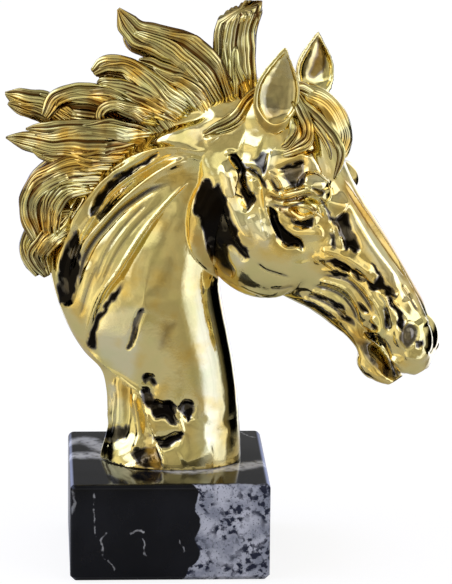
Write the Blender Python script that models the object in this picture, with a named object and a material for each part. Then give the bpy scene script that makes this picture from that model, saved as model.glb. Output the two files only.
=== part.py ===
"""Horse trophy: a cast, gilt horse head and neck on a square marble plinth.

Metres, +Z up. The origin is the middle of the plinth's underside, +X is the way the muzzle points
and +Y is away from the side that is shown most. The cast head stands on the plinth with a thin gap.
The figure is laid out on a grid of parts of its own height, so FIGURE_HEIGHT sets its whole size.
"""
import math

import bmesh
import bpy
import numpy as np

# Driving sizes of the plinth
PLINTH_WIDTH = 0.080
PLINTH_DEPTH = 0.080
PLINTH_HEIGHT = 0.040
PLINTH_EDGE_RADIUS = 0.0024
PLINTH_CORNER_RADIUS = 0.0026
PLINTH_FOOT_CHAMFER = 0.0018
PLINTH_CORNER_STEPS = 4
PLINTH_EDGE_STEPS = 3

# Driving sizes of the cast head
FIGURE_HEIGHT = 0.1873
SEAT_GAP = 0.0003
FACE_BUDGET = 9400

# The figure's own grid: its height is this many parts, and every number below counts such parts
GRID_PARTS = 187.3
UNIT = FIGURE_HEIGHT / GRID_PARTS
REMESH_STEP = 1.05
FOOT_EXTENSION = 7.0

# The head's own axes: s runs down the nose, t stands out of the face, w goes to the shown side
HEAD_YAW = math.radians(28)
HEAD_PITCH = math.radians(57)
HEAD_START = np.array([53.3, -14.5, 153.8])
FORWARD = np.array([math.cos(HEAD_YAW), -math.sin(HEAD_YAW), 0.0])
DOWN_NOSE = math.cos(HEAD_PITCH) * FORWARD - math.sin(HEAD_PITCH) * np.array([0, 0, 1.0])
OUT_OF_FACE = math.sin(HEAD_PITCH) * FORWARD + math.cos(HEAD_PITCH) * np.array([0, 0, 1.0])
SIDEWAYS = np.array([-math.sin(HEAD_YAW), -math.cos(HEAD_YAW), 0.0])
HEAD_AXES = np.array([DOWN_NOSE, OUT_OF_FACE, SIDEWAYS])

# Neck stations, from foot to poll: crest x and z, throat x and z, middle y, half thickness, egg
NECK = [
    (-27.5, -FOOT_EXTENSION, 30.0, -FOOT_EXTENSION, 0.0, 20.0, 0.05),
    (-27.3, 2, 30.0, 1, 0.0, 20.0, 0.05),
    (-24.6, 14, 29.3, 13, 0.0, 18.5, 0.05),
    (-24.8, 27, 28.2, 27, 0.0, 17.5, 0.08),
    (-27.0, 37, 26.6, 40, 0.0, 17.5, 0.12),
    (-34.2, 45, 24.6, 51, 0.0, 18.0, 0.16),
    (-40.2, 55, 22.4, 62, 0.0, 18.5, 0.20),
    (-45.2, 68, 21.0, 71, 0.0, 19.0, 0.22),
    (-48.0, 84, 21.2, 77, 0.0, 19.0, 0.22),
    (-44.0, 100, 23.0, 82, 0.0, 19.0, 0.22),
    (-36.0, 113, 27.0, 88, 0.0, 18.5, 0.20),
    (-25.0, 123, 32.0, 95, -1.0, 18.0, 0.18),
    (-9.0, 134, 40.0, 104, -2.0, 17.0, 0.15),
    (9.0, 143, 48.0, 112, -3.5, 15.5, 0.10),
    (27.0, 150, 54.0, 120, -5.5, 13.0, 0.05),
]

# Head stations down the nose: s, top, widest level, bottom, half width, squareness above and below
HEAD = [
    (-9, -9, -18, -30, 9.0, 2.0, 2.0),
    (-3, -3, -19, -40, 13.0, 2.2, 2.0),
    (6, 0.0, -22, -52, 15.0, 2.3, 2.0),
    (16, 0.0, -25, -60, 16.5, 2.3, 2.1),
    (27, -1.4, -26, -65, 17.5, 2.4, 2.2),
    (38, -2.6, -26, -67, 17.5, 2.4, 2.2),
    (48, -2.6, -25, -63, 16.0, 2.4, 2.2),
    (57, -1.8, -22, -56.5, 14.0, 2.4, 2.2),
    (66, -1.0, -18, -48.5, 12.2, 2.4, 2.2),
    (76, -0.7, -15, -40, 11.2, 2.4, 2.2),
    (86, -0.7, -13, -32, 10.8, 2.4, 2.3),
    (95, -1.0, -11.5, -24.5, 11.2, 2.4, 2.3),
    (102, -2.4, -11.5, -22.8, 11.4, 2.3, 2.4),
    (108, -3.6, -12, -22.6, 11.4, 2.2, 2.4),
    (113, -5.8, -13.5, -21.8, 10.2, 2.2, 2.3),
    (117.4, -10.4, -15, -19.8, 7.2, 2.1, 2.1),
]

# Lower jaw and lip, the same seven columns
LOWER_JAW = [
    (57, -28, -42, -57, 10.5, 2.2, 2.2),
    (66, -22, -36, -51.5, 10.0, 2.2, 2.2),
    (75, -20, -31, -44.5, 9.5, 2.2, 2.2),
    (84, -20, -29.5, -39.4, 9.2, 2.2, 2.2),
    (92, -22, -28.5, -35.2, 8.6, 2.2, 2.2),
    (98, -25, -29.5, -33.8, 8.2, 2.4, 2.2),
    (104, -26.6, -30.5, -35.4, 8.6, 2.8, 2.2),
    (109, -26.2, -30.0, -35.2, 8.8, 2.8, 2.2),
    (113.5, -25.4, -28.5, -33.2, 8.2, 2.6, 2.2),
    (117, -24.8, -26.8, -29.6, 5.6, 2.4, 2.0),
]

# Rounded masses laid on both sides of the head: s, t, w, then their reach along s, t and w, and tilt
HEAD_MASSES = {
    "jowl": (39, -45, 9.0, 27.0, 25.0, 10.5, 8),
    "brow": (35, -10.5, 14.0, 7.5, 5.5, 6.2, 25),
    "eyeball": (42.0, -16.8, 15.0, 5.6, 4.6, 4.4, 0),
    "temple": (12, -14, 10.5, 13, 7.5, 6.0, -30),
    "cheek bone": (60, -21.5, 9.8, 13, 3.4, 4.6, 22),
    "nostril wing": (103, -9.0, 8.4, 7.6, 7.0, 5.0, -20),
    "upper lip": (111.5, -15.6, 5.4, 7.2, 6.6, 6.4, 0),
    "chin": (106, -31.4, 2.8, 7.0, 5.0, 6.2, 0),
}

# The ears, base and tip in the head's own axes, and their cupped shape
NEAR_EAR = [(6, -12, 13), (-18.5, 9.4, 15)]
FAR_EAR = [(5, -3.5, -13), (-19, 11, -14.5)]
EAR_HALF_WIDTH = 8.6
EAR_DEPTH = 6.5
EAR_WALL = 1.7
EAR_BOW = 1.6

# Locks of the forelock in the head's own axes: s, t, w at each point, then width and thickness
FORELOCK = {
    "hooked lock": ([(-3, 1, 6), (4, 3, 9.5), (11, 2, 12.5), (17, -3, 14.5), (19, -9, 15.5),
                     (17.5, -15, 15.5)], 4.2, 2.4),
    "pointed lock": ([(-5, 0, 1), (6, 3.6, 2.5), (17, 4.8, 4), (27, 3.2, 6), (35, -3.5, 8.5)], 5.0, 2.2),
    "far lock": ([(-6, -1, -4), (3, 1.6, -7), (13, 2.6, -8), (22, 0.8, -8), (29, -3.5, -7)], 6.0, 2.4),
}

# Locks of the mane on the shown side, root to tip: x, y, z at each point, then width, thickness, end
MANE = {
    "upright lock": ([(27, -5, 143), (26.3, -4, 157), (25.0, -2, 170), (27.6, 0, 184)], 8.8, 3.4, 0.9),
    "wave lock": ([(24, -8, 142), (15, -8, 159.5), (6, -7, 169), (-6, -5, 173), (-14.5, -3, 176.5),
                   (-20.5, -1, 184.5)], 8.0, 3.4, 0.1),
    "wave under": ([(18, -9, 143), (8, -9, 154), (-1, -7, 160), (-12, -4, 164.5)], 5.6, 3.4, 0.2),
    "rounded curl": ([(12, -11, 142), (0, -11, 150), (-9.6, -9, 157), (-17.4, -6, 162),
                      (-24.5, -5, 163), (-30, -4, 159.5)], 5.6, 3.4, 0.35),
    "curl under": ([(6, -12, 141), (-6, -12, 148.5), (-16.7, -9, 153), (-24.6, -7, 156),
                    (-28.5, -5, 155.5)], 4.2, 3.0, 0.3),
    "arched lock": ([(-6, -8, 139), (-20, -8, 148), (-30, -6, 151.5), (-38, -5, 151),
                     (-45, -5, 148.5), (-49.5, -6, 142)], 4.8, 3.6, 0.4),
    "leaf lock": ([(-24, -4, 135), (-39, -3, 141.5), (-53, -1, 147), (-66, 1, 150.4)], 6.4, 3.2, 0.1),
    "small curl": ([(-2, -13, 139), (-12, -14, 146), (-21.5, -13, 148), (-27.4, -12, 145),
                    (-25.4, -11, 139.5)], 3.4, 2.8, 0.3),
    "upper spear": ([(-8, -12, 135), (-24, -12.5, 138), (-41, -10, 138.5), (-57, -6, 137)], 5.0, 3.2, 0.1),
    "spear lock": ([(-12, -13, 131), (-28.6, -13, 132), (-48, -9, 131.5), (-64.6, -3, 133)], 7.2, 3.4, 0.06),
    "lower spear": ([(-18, -13, 126), (-33, -13, 126.5), (-45.6, -10, 127), (-55.5, -7, 129)], 4.6, 3.0, 0.1),
    "great curl": ([(-24, -14, 121), (-39.7, -14, 122), (-50.5, -12, 115.5), (-54.6, -10, 106),
                    (-52.6, -9, 96.5), (-46, -9, 90)], 6.4, 3.6, 0.35),
    "inner curl": ([(-28, -14, 116), (-40, -14, 115), (-46.6, -13, 108.5), (-47.6, -12, 101),
                    (-45.4, -11, 92)], 5.0, 3.4, 0.3),
    "tuft": ([(-40, -13, 100), (-48.6, -11, 93.2), (-52.4, -8, 85.5), (-48.6, -7, 77)], 5.0, 3.4, 0.3),
    "tuft behind": ([(-45, -6, 103), (-53, -5, 96), (-55.4, -4, 86.5), (-51.5, -4, 77.5)], 5.2, 3.4, 0.4),
}

# How far the free end of a lock slants, where it isn't pointed
MANE_SLANT = {"upright lock": 6.0}

# The mass of hair under the locks, root to tip: x, y, z at each point, then width and thickness
MANE_CORE = [
    ([(26, -3, 140), (24, -2, 156), (24, -1, 168)], 8.0, 6.0),
    ([(16, -3, 140), (8, -2, 153), (-6, 0, 162)], 9.0, 8.0),
    ([(2, -2, 135), (-10, -1, 147), (-22, 0, 154)], 9.0, 8.5),
    ([(-12, -1, 130), (-26, 0, 141), (-44, 0, 144)], 10.0, 8.5),
    ([(-16, 0, 124), (-34, 0, 131), (-52, 0, 133)], 9.0, 8.5),
    ([(-26, 0, 112), (-40, 0, 117), (-49, 0, 108)], 8.0, 9.0),
    ([(-36, 0, 102), (-46, 0, 100), (-50, 0, 88)], 7.0, 8.5),
]

# The mane goes round the crest: each lock is laid again in these layers, as y scale, y shift,
# reach from its root and drop
MANE_LAYERS = [(1.0, 0.0, 1.0, 0.0), (0.1, 1.0, 0.93, 1.5), (-1.0, 0.0, 0.95, 2.6)]

# Carved lines on both sides of the head: way it is cut, depth, width, then s and t at each point
HEAD_LINES = [
    ("ridge", 1.3, 3.0, [(6, -15), (20, -22), (29, -30), (41, -34), (50, -34)]),
    ("groove", 2.2, 5.0, [(18, -19), (25, -16), (30, -17)]),
    ("groove", 2.0, 4.0, [(33, -31), (42, -33), (49, -31), (54, -26)]),
    ("groove", 1.6, 5.0, [(14, -46), (26, -53), (39, -55), (50, -54)]),
    ("ridge", 1.1, 4.0, [(12, -38), (25, -43), (38, -46), (49, -46)]),
    ("groove", 1.6, 2.0, [(36, -23), (41, -23), (46, -19), (50, -14)]),
    ("groove", 1.4, 1.6, [(31, -22), (33, -15), (37, -10), (41, -7)]),
    ("groove", 2.4, 4.2, [(47, -8), (56, -8.5), (66, -9), (78, -8), (88, -5)]),
    ("ridge", 1.5, 3.0, [(56, -23), (62, -19), (70, -15), (80, -12)]),
    ("groove", 1.6, 2.8, [(60, -27), (66, -22), (74, -18.5), (84, -16), (92, -15)]),
    ("groove", 0.9, 1.8, [(66, -36), (74, -29), (84, -24), (93, -22)]),
    ("groove", 0.9, 1.8, [(69, -41), (78, -34), (88, -30), (95, -28)]),
    ("groove", 1.4, 1.8, [(90, -27), (96, -25), (103, -24), (112, -23)]),
    ("ridge", 1.0, 2.6, [(84, -9), (91, -8), (97, -8)]),
    ("groove", 3.4, 2.6, [(101, -8.5), (104.5, -7.0), (107, -6.6)]),
    ("ridge", 0.9, 1.6, [(98.5, -4.5), (103, -1.8), (108.5, -3.6), (110.5, -8)]),
]

# Carved lines on both sides of the neck: way it is cut, depth, width, then x and z at each point
NECK_LINES = [
    ("ridge", 1.6, 4.5, [(21, 145), (-8, 131), (-28, 115), (-37, 99), (-40, 82)]),
    ("groove", 1.7, 3.2, [(-8, 119), (-22, 105), (-34, 87), (-37, 70), (-34, 56)]),
    ("ridge", 1.2, 3.5, [(8, 119), (-8, 105), (-23, 87), (-31, 70), (-35, 56)]),
    ("groove", 1.2, 3.0, [(30, 135), (22, 131), (14, 123), (8, 117)]),
    ("ledge", 2.2, 9.0, [(1, 112), (-11.6, 94.4), (-21.5, 78.4), (-29.8, 63.3), (-33.4, 52)]),
    ("ledge", 4.2, 12.0, [(-2, -8), (-3.5, 3), (-7, 12), (-10.5, 21), (-12, 30), (-20, 39), (-30, 43)]),
]


def smooth_path(points, count):
    """Samples of a smooth curve through the given points, whatever their number of columns."""
    pts = np.asarray(points, float)
    ends = np.vstack([2 * pts[0] - pts[1], pts, 2 * pts[-1] - pts[-2]])
    at = np.linspace(0, len(pts) - 1, count)
    i = np.minimum(at.astype(int), len(pts) - 2)
    f = (at - i)[:, None]
    a, b, c, d = ends[i], ends[i + 1], ends[i + 2], ends[i + 3]
    return 0.5 * (2 * b + (c - a) * f + (2 * a - 5 * b + 4 * c - d) * f ** 2
                  + (3 * b - a - 3 * c + d) * f ** 3)


def unit(vectors):
    """The same vectors at length one."""
    return vectors / np.maximum(np.linalg.norm(vectors, axis=-1, keepdims=True), 1e-9)


def bulge(value, squareness):
    """One coordinate of a superellipse: 2 is an ellipse, more is squarer."""
    return np.sign(value) * np.abs(value) ** (2 / squareness)


def from_head(points):
    """Points given as s, t, w in the figure's grid."""
    return HEAD_START + np.asarray(points, float) @ HEAD_AXES


def to_head(points):
    """The figure's grid points as s, t, w."""
    return (points - HEAD_START) @ HEAD_AXES.T


def close_rings(rings):
    """Closed shell over a stack of rings, capped by a point in the middle of each end."""
    count, around = rings.shape[:2]
    points = np.vstack([rings.reshape(-1, 3), rings[0].mean(0), rings[-1].mean(0)])
    faces = []
    for i in range(count - 1):
        for j in range(around):
            k = (j + 1) % around
            faces.append((i * around + j, i * around + k, (i + 1) * around + k, (i + 1) * around + j))
    last = (count - 1) * around
    for j in range(around):
        k = (j + 1) % around
        faces.append((k, j, count * around))
        faces.append((last + j, last + k, count * around + 1))
    return points, faces


def neck_shell():
    """The neck, fanned out round the throat from the foot to the poll."""
    turn = np.linspace(0, 2 * math.pi, 48, endpoint=False)
    along, across = bulge(np.cos(turn), 2.1), bulge(np.sin(turn), 2.1)
    rings = []
    for cx, cz, tx, tz, y, half, egg in smooth_path(NECK, 60):
        x = (cx + tx) / 2 + along * (tx - cx) / 2
        z = (cz + tz) / 2 + along * (tz - cz) / 2
        rings.append(np.column_stack([x, y + across * half * (1 + egg * along), z]))
    return close_rings(np.array(rings))


def face_shell(stations, count):
    """A part of the head, lofted down the nose from its stations."""
    turn = np.linspace(0, 2 * math.pi, 48, endpoint=False)
    up = np.sin(turn) > 0
    rings = []
    for s, top, level, bottom, half, above, below in smooth_path(stations, count):
        w = np.where(up, bulge(np.cos(turn), above), bulge(np.cos(turn), below)) * half
        reach = np.where(up, top - level, level - bottom)
        t = level + reach * np.where(up, bulge(np.sin(turn), above), bulge(np.sin(turn), below))
        rings.append(from_head(np.column_stack([np.full_like(t, s), t, w])))
    return close_rings(np.array(rings))


def mass_shell(side, s, t, w, reach_s, reach_t, reach_w, tilt):
    """An ellipsoid in the head's axes, turned by tilt degrees in the side view."""
    lie = np.linspace(0, math.pi, 15)[1:-1]
    turn = np.linspace(0, 2 * math.pi, 24, endpoint=False)
    a = math.radians(tilt)
    rings = []
    for angle in lie:
        along = np.full_like(turn, reach_s * math.cos(angle))
        high = reach_t * math.sin(angle) * np.cos(turn)
        out = reach_w * math.sin(angle) * np.sin(turn)
        rings.append(from_head(np.column_stack([s + along * math.cos(a) - high * math.sin(a),
                                                t + along * math.sin(a) + high * math.cos(a),
                                                side * (w + out)])))
    return close_rings(np.array(rings))


def lock_shell(path, width, thickness, end, outward, strands=3, slant=0.0):
    """A tapering lock of hair with grooved faces, along a path, flat towards outward."""
    count, around = 26, 24
    line = smooth_path(path, count)
    ahead = unit(np.gradient(line, axis=0))
    beside = unit(np.cross(ahead, outward))
    above = unit(np.cross(beside, ahead))
    u = np.linspace(0, 1, count)
    swell = np.interp(u, [0, 0.35, 0.7, 0.9, 1], [0.75, 1, 0.8 + 0.2 * end, 0.5 + 0.5 * end, end])
    thick = np.interp(u, [0, 0.4, 0.8, 1], [1, 1, 0.8, max(end, 0.3)])
    turn = np.linspace(0, 2 * math.pi, around, endpoint=False)
    groove = 1 - 0.16 * (0.5 - 0.5 * np.cos(2 * strands * turn))
    rings = []
    for i in range(count):
        flat = np.cos(turn) * width * swell[i] * groove
        deep = np.sin(turn) * thickness * thick[i] * groove
        late = np.cos(turn) * slant * u[i] ** 4
        rings.append(line[i] + np.outer(flat, beside[i]) + np.outer(deep, above[i]) + np.outer(late, ahead[i]))
    return close_rings(np.array(rings))


def ear_shell(base, tip, facing):
    """A cupped, leaf-shaped ear that opens towards facing."""
    axis = unit(tip - base)
    across = unit(np.cross(axis, facing))
    front = unit(np.cross(across, axis))
    sweep = np.linspace(-1.65, 1.65, 15)
    rings = []
    for u in np.linspace(0, 1, 22):
        wide = EAR_HALF_WIDTH * np.interp(u, [0, 0.12, 0.32, 0.55, 0.8, 0.93, 1],
                                [0.62, 0.85, 1.0, 0.92, 0.56, 0.28, 0.06])
        deep = EAR_DEPTH * wide / EAR_HALF_WIDTH
        hollow = np.interp(u, [0, 0.06, 0.22, 0.85, 1], [-0.5, -0.35, 1, 0.8, 0])
        centre = base + (tip - base) * u - front * EAR_BOW * math.sin(math.pi * u)
        inner_wide = max(wide - EAR_WALL, wide * 0.4)
        inner_deep = (deep - EAR_WALL) * hollow
        outer = [centre + across * wide * math.sin(a) - front * deep * math.cos(a) for a in sweep]
        inner = [centre + across * inner_wide * math.sin(a) - front * inner_deep * math.cos(a)
                 for a in sweep[::-1]]
        rings.append(outer + inner)
    return close_rings(np.array(rings))


def layered(path, layer):
    """A mane lock's path in one of the mane's layers."""
    scale_y, shift_y, reach, drop = layer
    points = np.asarray(path, float)
    root = points[0] + (points[0] - points[1]) * 0.7
    root[1] = points[0][1] * 0.35
    points = points[0] + (points - points[0]) * np.array([reach, 1, reach])
    points = np.vstack([root, points])
    points[:, 1] = points[:, 1] * scale_y + shift_y
    points[:, 2] -= drop
    return points


def figure_shells():
    """Every closed form that the casting is put together from."""
    shells = [neck_shell(), face_shell(HEAD, 60), face_shell(LOWER_JAW, 34)]
    for side in (1, -1):
        for mass in HEAD_MASSES.values():
            shells.append(mass_shell(side, *mass))
    near_facing = 0.55 * FORWARD + 0.85 * SIDEWAYS
    far_facing = FORWARD + 0.35 * SIDEWAYS
    shells.append(ear_shell(from_head(NEAR_EAR[0]), from_head(NEAR_EAR[1]), near_facing))
    shells.append(ear_shell(from_head(FAR_EAR[0]), from_head(FAR_EAR[1]), far_facing))
    for path, width, thickness in FORELOCK.values():
        shells.append(lock_shell(from_head(path), width, thickness, 0.25, OUT_OF_FACE + 0.5 * SIDEWAYS))
    for path, width, thickness in MANE_CORE:
        shells.append(lock_shell(path, width, thickness, 0.5, np.array([0, -1.0, 0]), strands=2))
    for layer in MANE_LAYERS:
        outward = np.array([0, -1.0 if layer[0] > 0 else 1.0, 0])
        for name, (path, width, thickness, end) in MANE.items():
            slant = MANE_SLANT.get(name, 0.0) * -outward[1]
            shells.append(lock_shell(layered(path, layer), width, thickness, end, outward, slant=slant))
    return shells


def merged_mesh(shells):
    """The shells fused to one skin, with the voxel remesher."""
    points, faces, start = [], [], 0
    for shell_points, shell_faces in shells:
        points.append(shell_points)
        faces.extend(tuple(v + start for v in face) for face in shell_faces)
        start += len(shell_points)
    mesh = bpy.data.meshes.new("horse_forms")
    mesh.from_pydata(np.vstack(points).tolist(), [], faces)
    form = bpy.data.objects.new("horse_forms", mesh)
    bpy.context.scene.collection.objects.link(form)
    remesh = form.modifiers.new("skin", "REMESH")
    remesh.mode = "VOXEL"
    remesh.voxel_size = REMESH_STEP
    skin = bpy.data.meshes.new_from_object(form.evaluated_get(bpy.context.evaluated_depsgraph_get()))
    bpy.data.objects.remove(form)
    return skin


def read_points(mesh):
    """The mesh's points as an array."""
    flat = np.empty(len(mesh.vertices) * 3)
    mesh.vertices.foreach_get("co", flat)
    return flat.reshape(-1, 3)


def read_normals(mesh):
    """The mesh's point normals as an array."""
    flat = np.empty(len(mesh.vertices) * 3)
    mesh.vertex_normals.foreach_get("vector", flat)
    return flat.reshape(-1, 3)


def write_points(mesh, points):
    """Puts the array's points into the mesh."""
    mesh.vertices.foreach_set("co", points.ravel())
    mesh.update()


def relax(mesh, rounds):
    """Evens the skin out with little shrinking."""
    ends = np.empty(len(mesh.edges) * 2, int)
    mesh.edges.foreach_get("vertices", ends)
    a, b = ends[0::2], ends[1::2]
    size = len(mesh.vertices)
    valence = np.bincount(a, minlength=size) + np.bincount(b, minlength=size)
    points = read_points(mesh)
    for _ in range(rounds):
        for pull in (0.55, -0.57):
            mean = np.empty_like(points)
            for axis in range(3):
                mean[:, axis] = (np.bincount(a, points[b, axis], size) + np.bincount(b, points[a, axis], size))
            points = points + pull * (mean / valence[:, None] - points)
    write_points(mesh, points)


def cut_line(flat, way, depth, width, path):
    """How far each point moves along its normal for one carved line, seen from the side."""
    line = smooth_path(path, 40)
    reach = width * 3.2
    low, high = line.min(0) - reach, line.max(0) + reach
    near = np.flatnonzero(np.all((flat > low) & (flat < high), axis=1))
    move = np.zeros(len(flat))
    if len(near) == 0:
        return move
    gaps = flat[near, None, :] - line[None, :, :]
    distance = np.linalg.norm(gaps, axis=2)
    nearest = distance.argmin(axis=1)
    gap = distance[np.arange(len(near)), nearest]
    share = nearest / (len(line) - 1)
    fade = np.clip(np.minimum(share, 1 - share) * 6, 0, 1)
    if way == "ledge":
        ahead = unit(np.gradient(line, axis=0))[nearest]
        offset = gaps[np.arange(len(near)), nearest]
        side = ahead[:, 0] * offset[:, 1] - ahead[:, 1] * offset[:, 0]
        below = np.clip(side / 0.8, 0, 1)
        end = np.where((nearest == 0) | (nearest == len(line) - 1), 0.0, 1.0)
        move[near] = -depth * below * np.exp(-np.abs(side) / (width * 0.6)) * np.minimum(fade + 0.4, 1) * end
        return move
    sign = 1 if way == "ridge" else -1
    move[near] = sign * depth * np.exp(-(gap / width * 1.6) ** 2) * (0.25 + 0.75 * fade)
    return move


def carve(mesh):
    """Cuts the muscles, folds and hollows into both sides of the skin."""
    points, normals = read_points(mesh), read_normals(mesh)
    local = to_head(points)
    on_head = np.clip((local[:, 1] + 66) / 4, 0, 1) * np.clip((local[:, 0] + 6) / 4, 0, 1)
    facing = np.clip(np.abs(normals @ SIDEWAYS) * 2.2 - 0.2, 0, 1)
    move = np.zeros(len(points))
    for way, depth, width, path in HEAD_LINES:
        move += cut_line(local[:, :2], way, depth, width, path) * facing * on_head
    neck_side = np.clip(np.abs(normals[:, 1]) * 2.2 - 0.2, 0, 1)
    on_neck = neck_side * np.clip((np.abs(points[:, 1]) - 5) / 4, 0, 1) * np.clip(1 - (local[:, 1] + 68) / 6, 0, 1)
    crest = np.interp(points[:, 0], [-50, -46, -40, -30, -16, 2, 22], [60, 92, 108, 119, 131, 140, 148])
    off_mane = np.clip((crest + 3 - points[:, 2]) / 4, 0, 1)
    for way, depth, width, path in NECK_LINES:
        move += cut_line(points[:, [0, 2]], way, depth, width, path) * on_neck * off_mane
    write_points(mesh, points + normals * move[:, None])


def thinned(mesh, budget):
    """The same skin with no more triangles than the budget."""
    form = bpy.data.objects.new("horse_skin", mesh)
    bpy.context.scene.collection.objects.link(form)
    triangles = 2 * len(mesh.polygons)
    decimate = form.modifiers.new("thin", "DECIMATE")
    decimate.ratio = min(1.0, budget / triangles)
    decimate.use_collapse_triangulate = True
    result = bpy.data.meshes.new_from_object(form.evaluated_get(bpy.context.evaluated_depsgraph_get()))
    bpy.data.objects.remove(form)
    return result


def flat_foot(mesh):
    """Cuts the neck off level at the foot and closes it with one flat face."""
    bm = bmesh.new()
    bm.from_mesh(mesh)
    geometry = bm.verts[:] + bm.edges[:] + bm.faces[:]
    cut = bmesh.ops.bisect_plane(bm, geom=geometry, plane_co=(0, 0, 0), plane_no=(0, 0, -1),
                                 clear_outer=True, dist=1e-4)
    rim = [item for item in cut["geom_cut"] if isinstance(item, bmesh.types.BMEdge)]
    bmesh.ops.remove_doubles(bm, verts=list({v for edge in rim for v in edge.verts}), dist=0.15)
    rim = [edge for edge in bm.edges if edge.is_boundary]
    bmesh.ops.contextual_create(bm, geom=rim)
    bmesh.ops.recalc_face_normals(bm, faces=bm.faces[:])
    bmesh.ops.triangulate(bm, faces=bm.faces[:])
    bm.to_mesh(mesh)
    bm.free()


def finish_material(name, colour, metallic, roughness):
    """A plain Principled material."""
    material = bpy.data.materials.new(name)
    material.use_nodes = True
    shader = material.node_tree.nodes["Principled BSDF"]
    shader.inputs["Base Color"].default_value = (*colour, 1)
    shader.inputs["Metallic"].default_value = metallic
    shader.inputs["Roughness"].default_value = roughness
    material.diffuse_color = (*colour, 1)
    return material


def horse_head():
    """The cast head and neck in one piece, standing on the plinth."""
    skin = merged_mesh(figure_shells())
    relax(skin, 5)
    carve(skin)
    relax(skin, 1)
    mesh = thinned(skin, FACE_BUDGET)
    flat_foot(mesh)
    points = read_points(mesh) * UNIT
    points[:, 2] += PLINTH_HEIGHT + SEAT_GAP
    write_points(mesh, points)
    mesh.shade_smooth()
    mesh.materials.append(finish_material("gilt", (0.83, 0.65, 0.27), 1.0, 0.12))
    mesh.name = "horse_head"
    horse = bpy.data.objects.new("horse_head", mesh)
    bpy.context.scene.collection.objects.link(horse)
    return horse


def plinth_ring(inset, z):
    """A square ring with rounded corners, at a height, drawn in by inset."""
    radius = max(PLINTH_CORNER_RADIUS - inset, PLINTH_CORNER_RADIUS * 0.2)
    along = PLINTH_WIDTH / 2 - inset - radius
    deep = PLINTH_DEPTH / 2 - inset - radius
    ring = []
    for quarter, (sx, sy) in enumerate([(1, 1), (-1, 1), (-1, -1), (1, -1)]):
        for step in range(PLINTH_CORNER_STEPS + 1):
            angle = (quarter + step / PLINTH_CORNER_STEPS) * math.pi / 2
            ring.append((sx * along + radius * math.cos(angle), sy * deep + radius * math.sin(angle), z))
    return ring


def plinth():
    """The marble block: rounded top edges, straight sides and a small chamfer at its foot."""
    rings = [plinth_ring(PLINTH_FOOT_CHAMFER, 0), plinth_ring(0, PLINTH_FOOT_CHAMFER)]
    for step in range(PLINTH_EDGE_STEPS + 1):
        angle = step / PLINTH_EDGE_STEPS * math.pi / 2
        rings.append(plinth_ring(PLINTH_EDGE_RADIUS * (1 - math.cos(angle)),
                                 PLINTH_HEIGHT - PLINTH_EDGE_RADIUS * (1 - math.sin(angle))))
    bm = bmesh.new()
    layers = [[bm.verts.new(point) for point in ring] for ring in rings]
    around = len(layers[0])
    for low, high in zip(layers, layers[1:]):
        for j in range(around):
            k = (j + 1) % around
            bm.faces.new((low[j], low[k], high[k], high[j]))
    bm.faces.new(layers[0][::-1])
    bm.faces.new(layers[-1])
    mesh = bpy.data.meshes.new("plinth")
    bm.to_mesh(mesh)
    bm.free()
    mesh.shade_smooth()
    mesh.set_sharp_from_angle(angle=math.radians(25))
    mesh.materials.append(finish_material("marble", (0.03, 0.03, 0.035), 0.0, 0.1))
    block = bpy.data.objects.new("plinth", mesh)
    bpy.context.scene.collection.objects.link(block)
    return block


def main():
    for item in list(bpy.data.objects):
        bpy.data.objects.remove(item)
    plinth()
    horse_head()


main()
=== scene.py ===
# %% [markdown]
# # A gilt horse head on a marble block
# The object is a cast horse head with a wild mane, plated in polished gold, on a small block of
# black marble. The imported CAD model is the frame: it says where everything is, to the millimetre.
# Its head is faceted and coarse, so finer pieces are modelled here in the same place and stand for it.

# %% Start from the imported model
import math

import bpy
import numpy as np
from mathutils import Matrix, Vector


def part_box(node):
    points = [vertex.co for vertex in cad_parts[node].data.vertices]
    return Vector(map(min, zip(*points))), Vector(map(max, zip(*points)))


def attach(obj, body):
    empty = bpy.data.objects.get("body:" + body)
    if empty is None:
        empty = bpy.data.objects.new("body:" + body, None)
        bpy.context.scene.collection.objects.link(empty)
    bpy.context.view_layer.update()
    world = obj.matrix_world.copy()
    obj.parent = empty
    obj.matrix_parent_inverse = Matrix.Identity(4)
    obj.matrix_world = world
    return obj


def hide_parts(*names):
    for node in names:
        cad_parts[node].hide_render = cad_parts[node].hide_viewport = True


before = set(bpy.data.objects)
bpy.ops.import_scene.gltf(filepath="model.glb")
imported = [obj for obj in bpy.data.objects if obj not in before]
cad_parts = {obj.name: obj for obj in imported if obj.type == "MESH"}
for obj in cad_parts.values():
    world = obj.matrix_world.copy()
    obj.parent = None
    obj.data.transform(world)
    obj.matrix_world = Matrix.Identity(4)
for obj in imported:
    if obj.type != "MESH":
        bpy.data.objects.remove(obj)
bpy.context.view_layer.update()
bpy.ops.object.select_all(action="DESELECT")
MM = 0.001
FOOT_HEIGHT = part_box("horse_head")[0][2]
FIGURE_BASE = np.array([0.0, 0.0, FOOT_HEIGHT])
BOX_LOW, BOX_HIGH = ((np.array(corner) - FIGURE_BASE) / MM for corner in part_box("horse_head"))

# %% [markdown]
# ## The camera comes first
# The photograph was taken with a long lens, a little above the trophy. The camera's place was worked
# out from the corners of the block. It is made first because the small folds of the face are laid out
# from where they fall in the picture, so the same numbers are needed later as plain arrays.

# %% Camera
CAMERA_AZIMUTH = math.radians(-2.932)
CAMERA_ELEVATION = math.radians(14.061)
CAMERA_ROLL = math.radians(0.529)
CAMERA_AIM = np.array([0.023337, 0.0, 0.109156])
CAMERA_DISTANCE = 1.61409
PICTURE_WIDTH, PICTURE_HEIGHT, FOCAL_PIXELS = 452, 584, 4000.0

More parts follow.
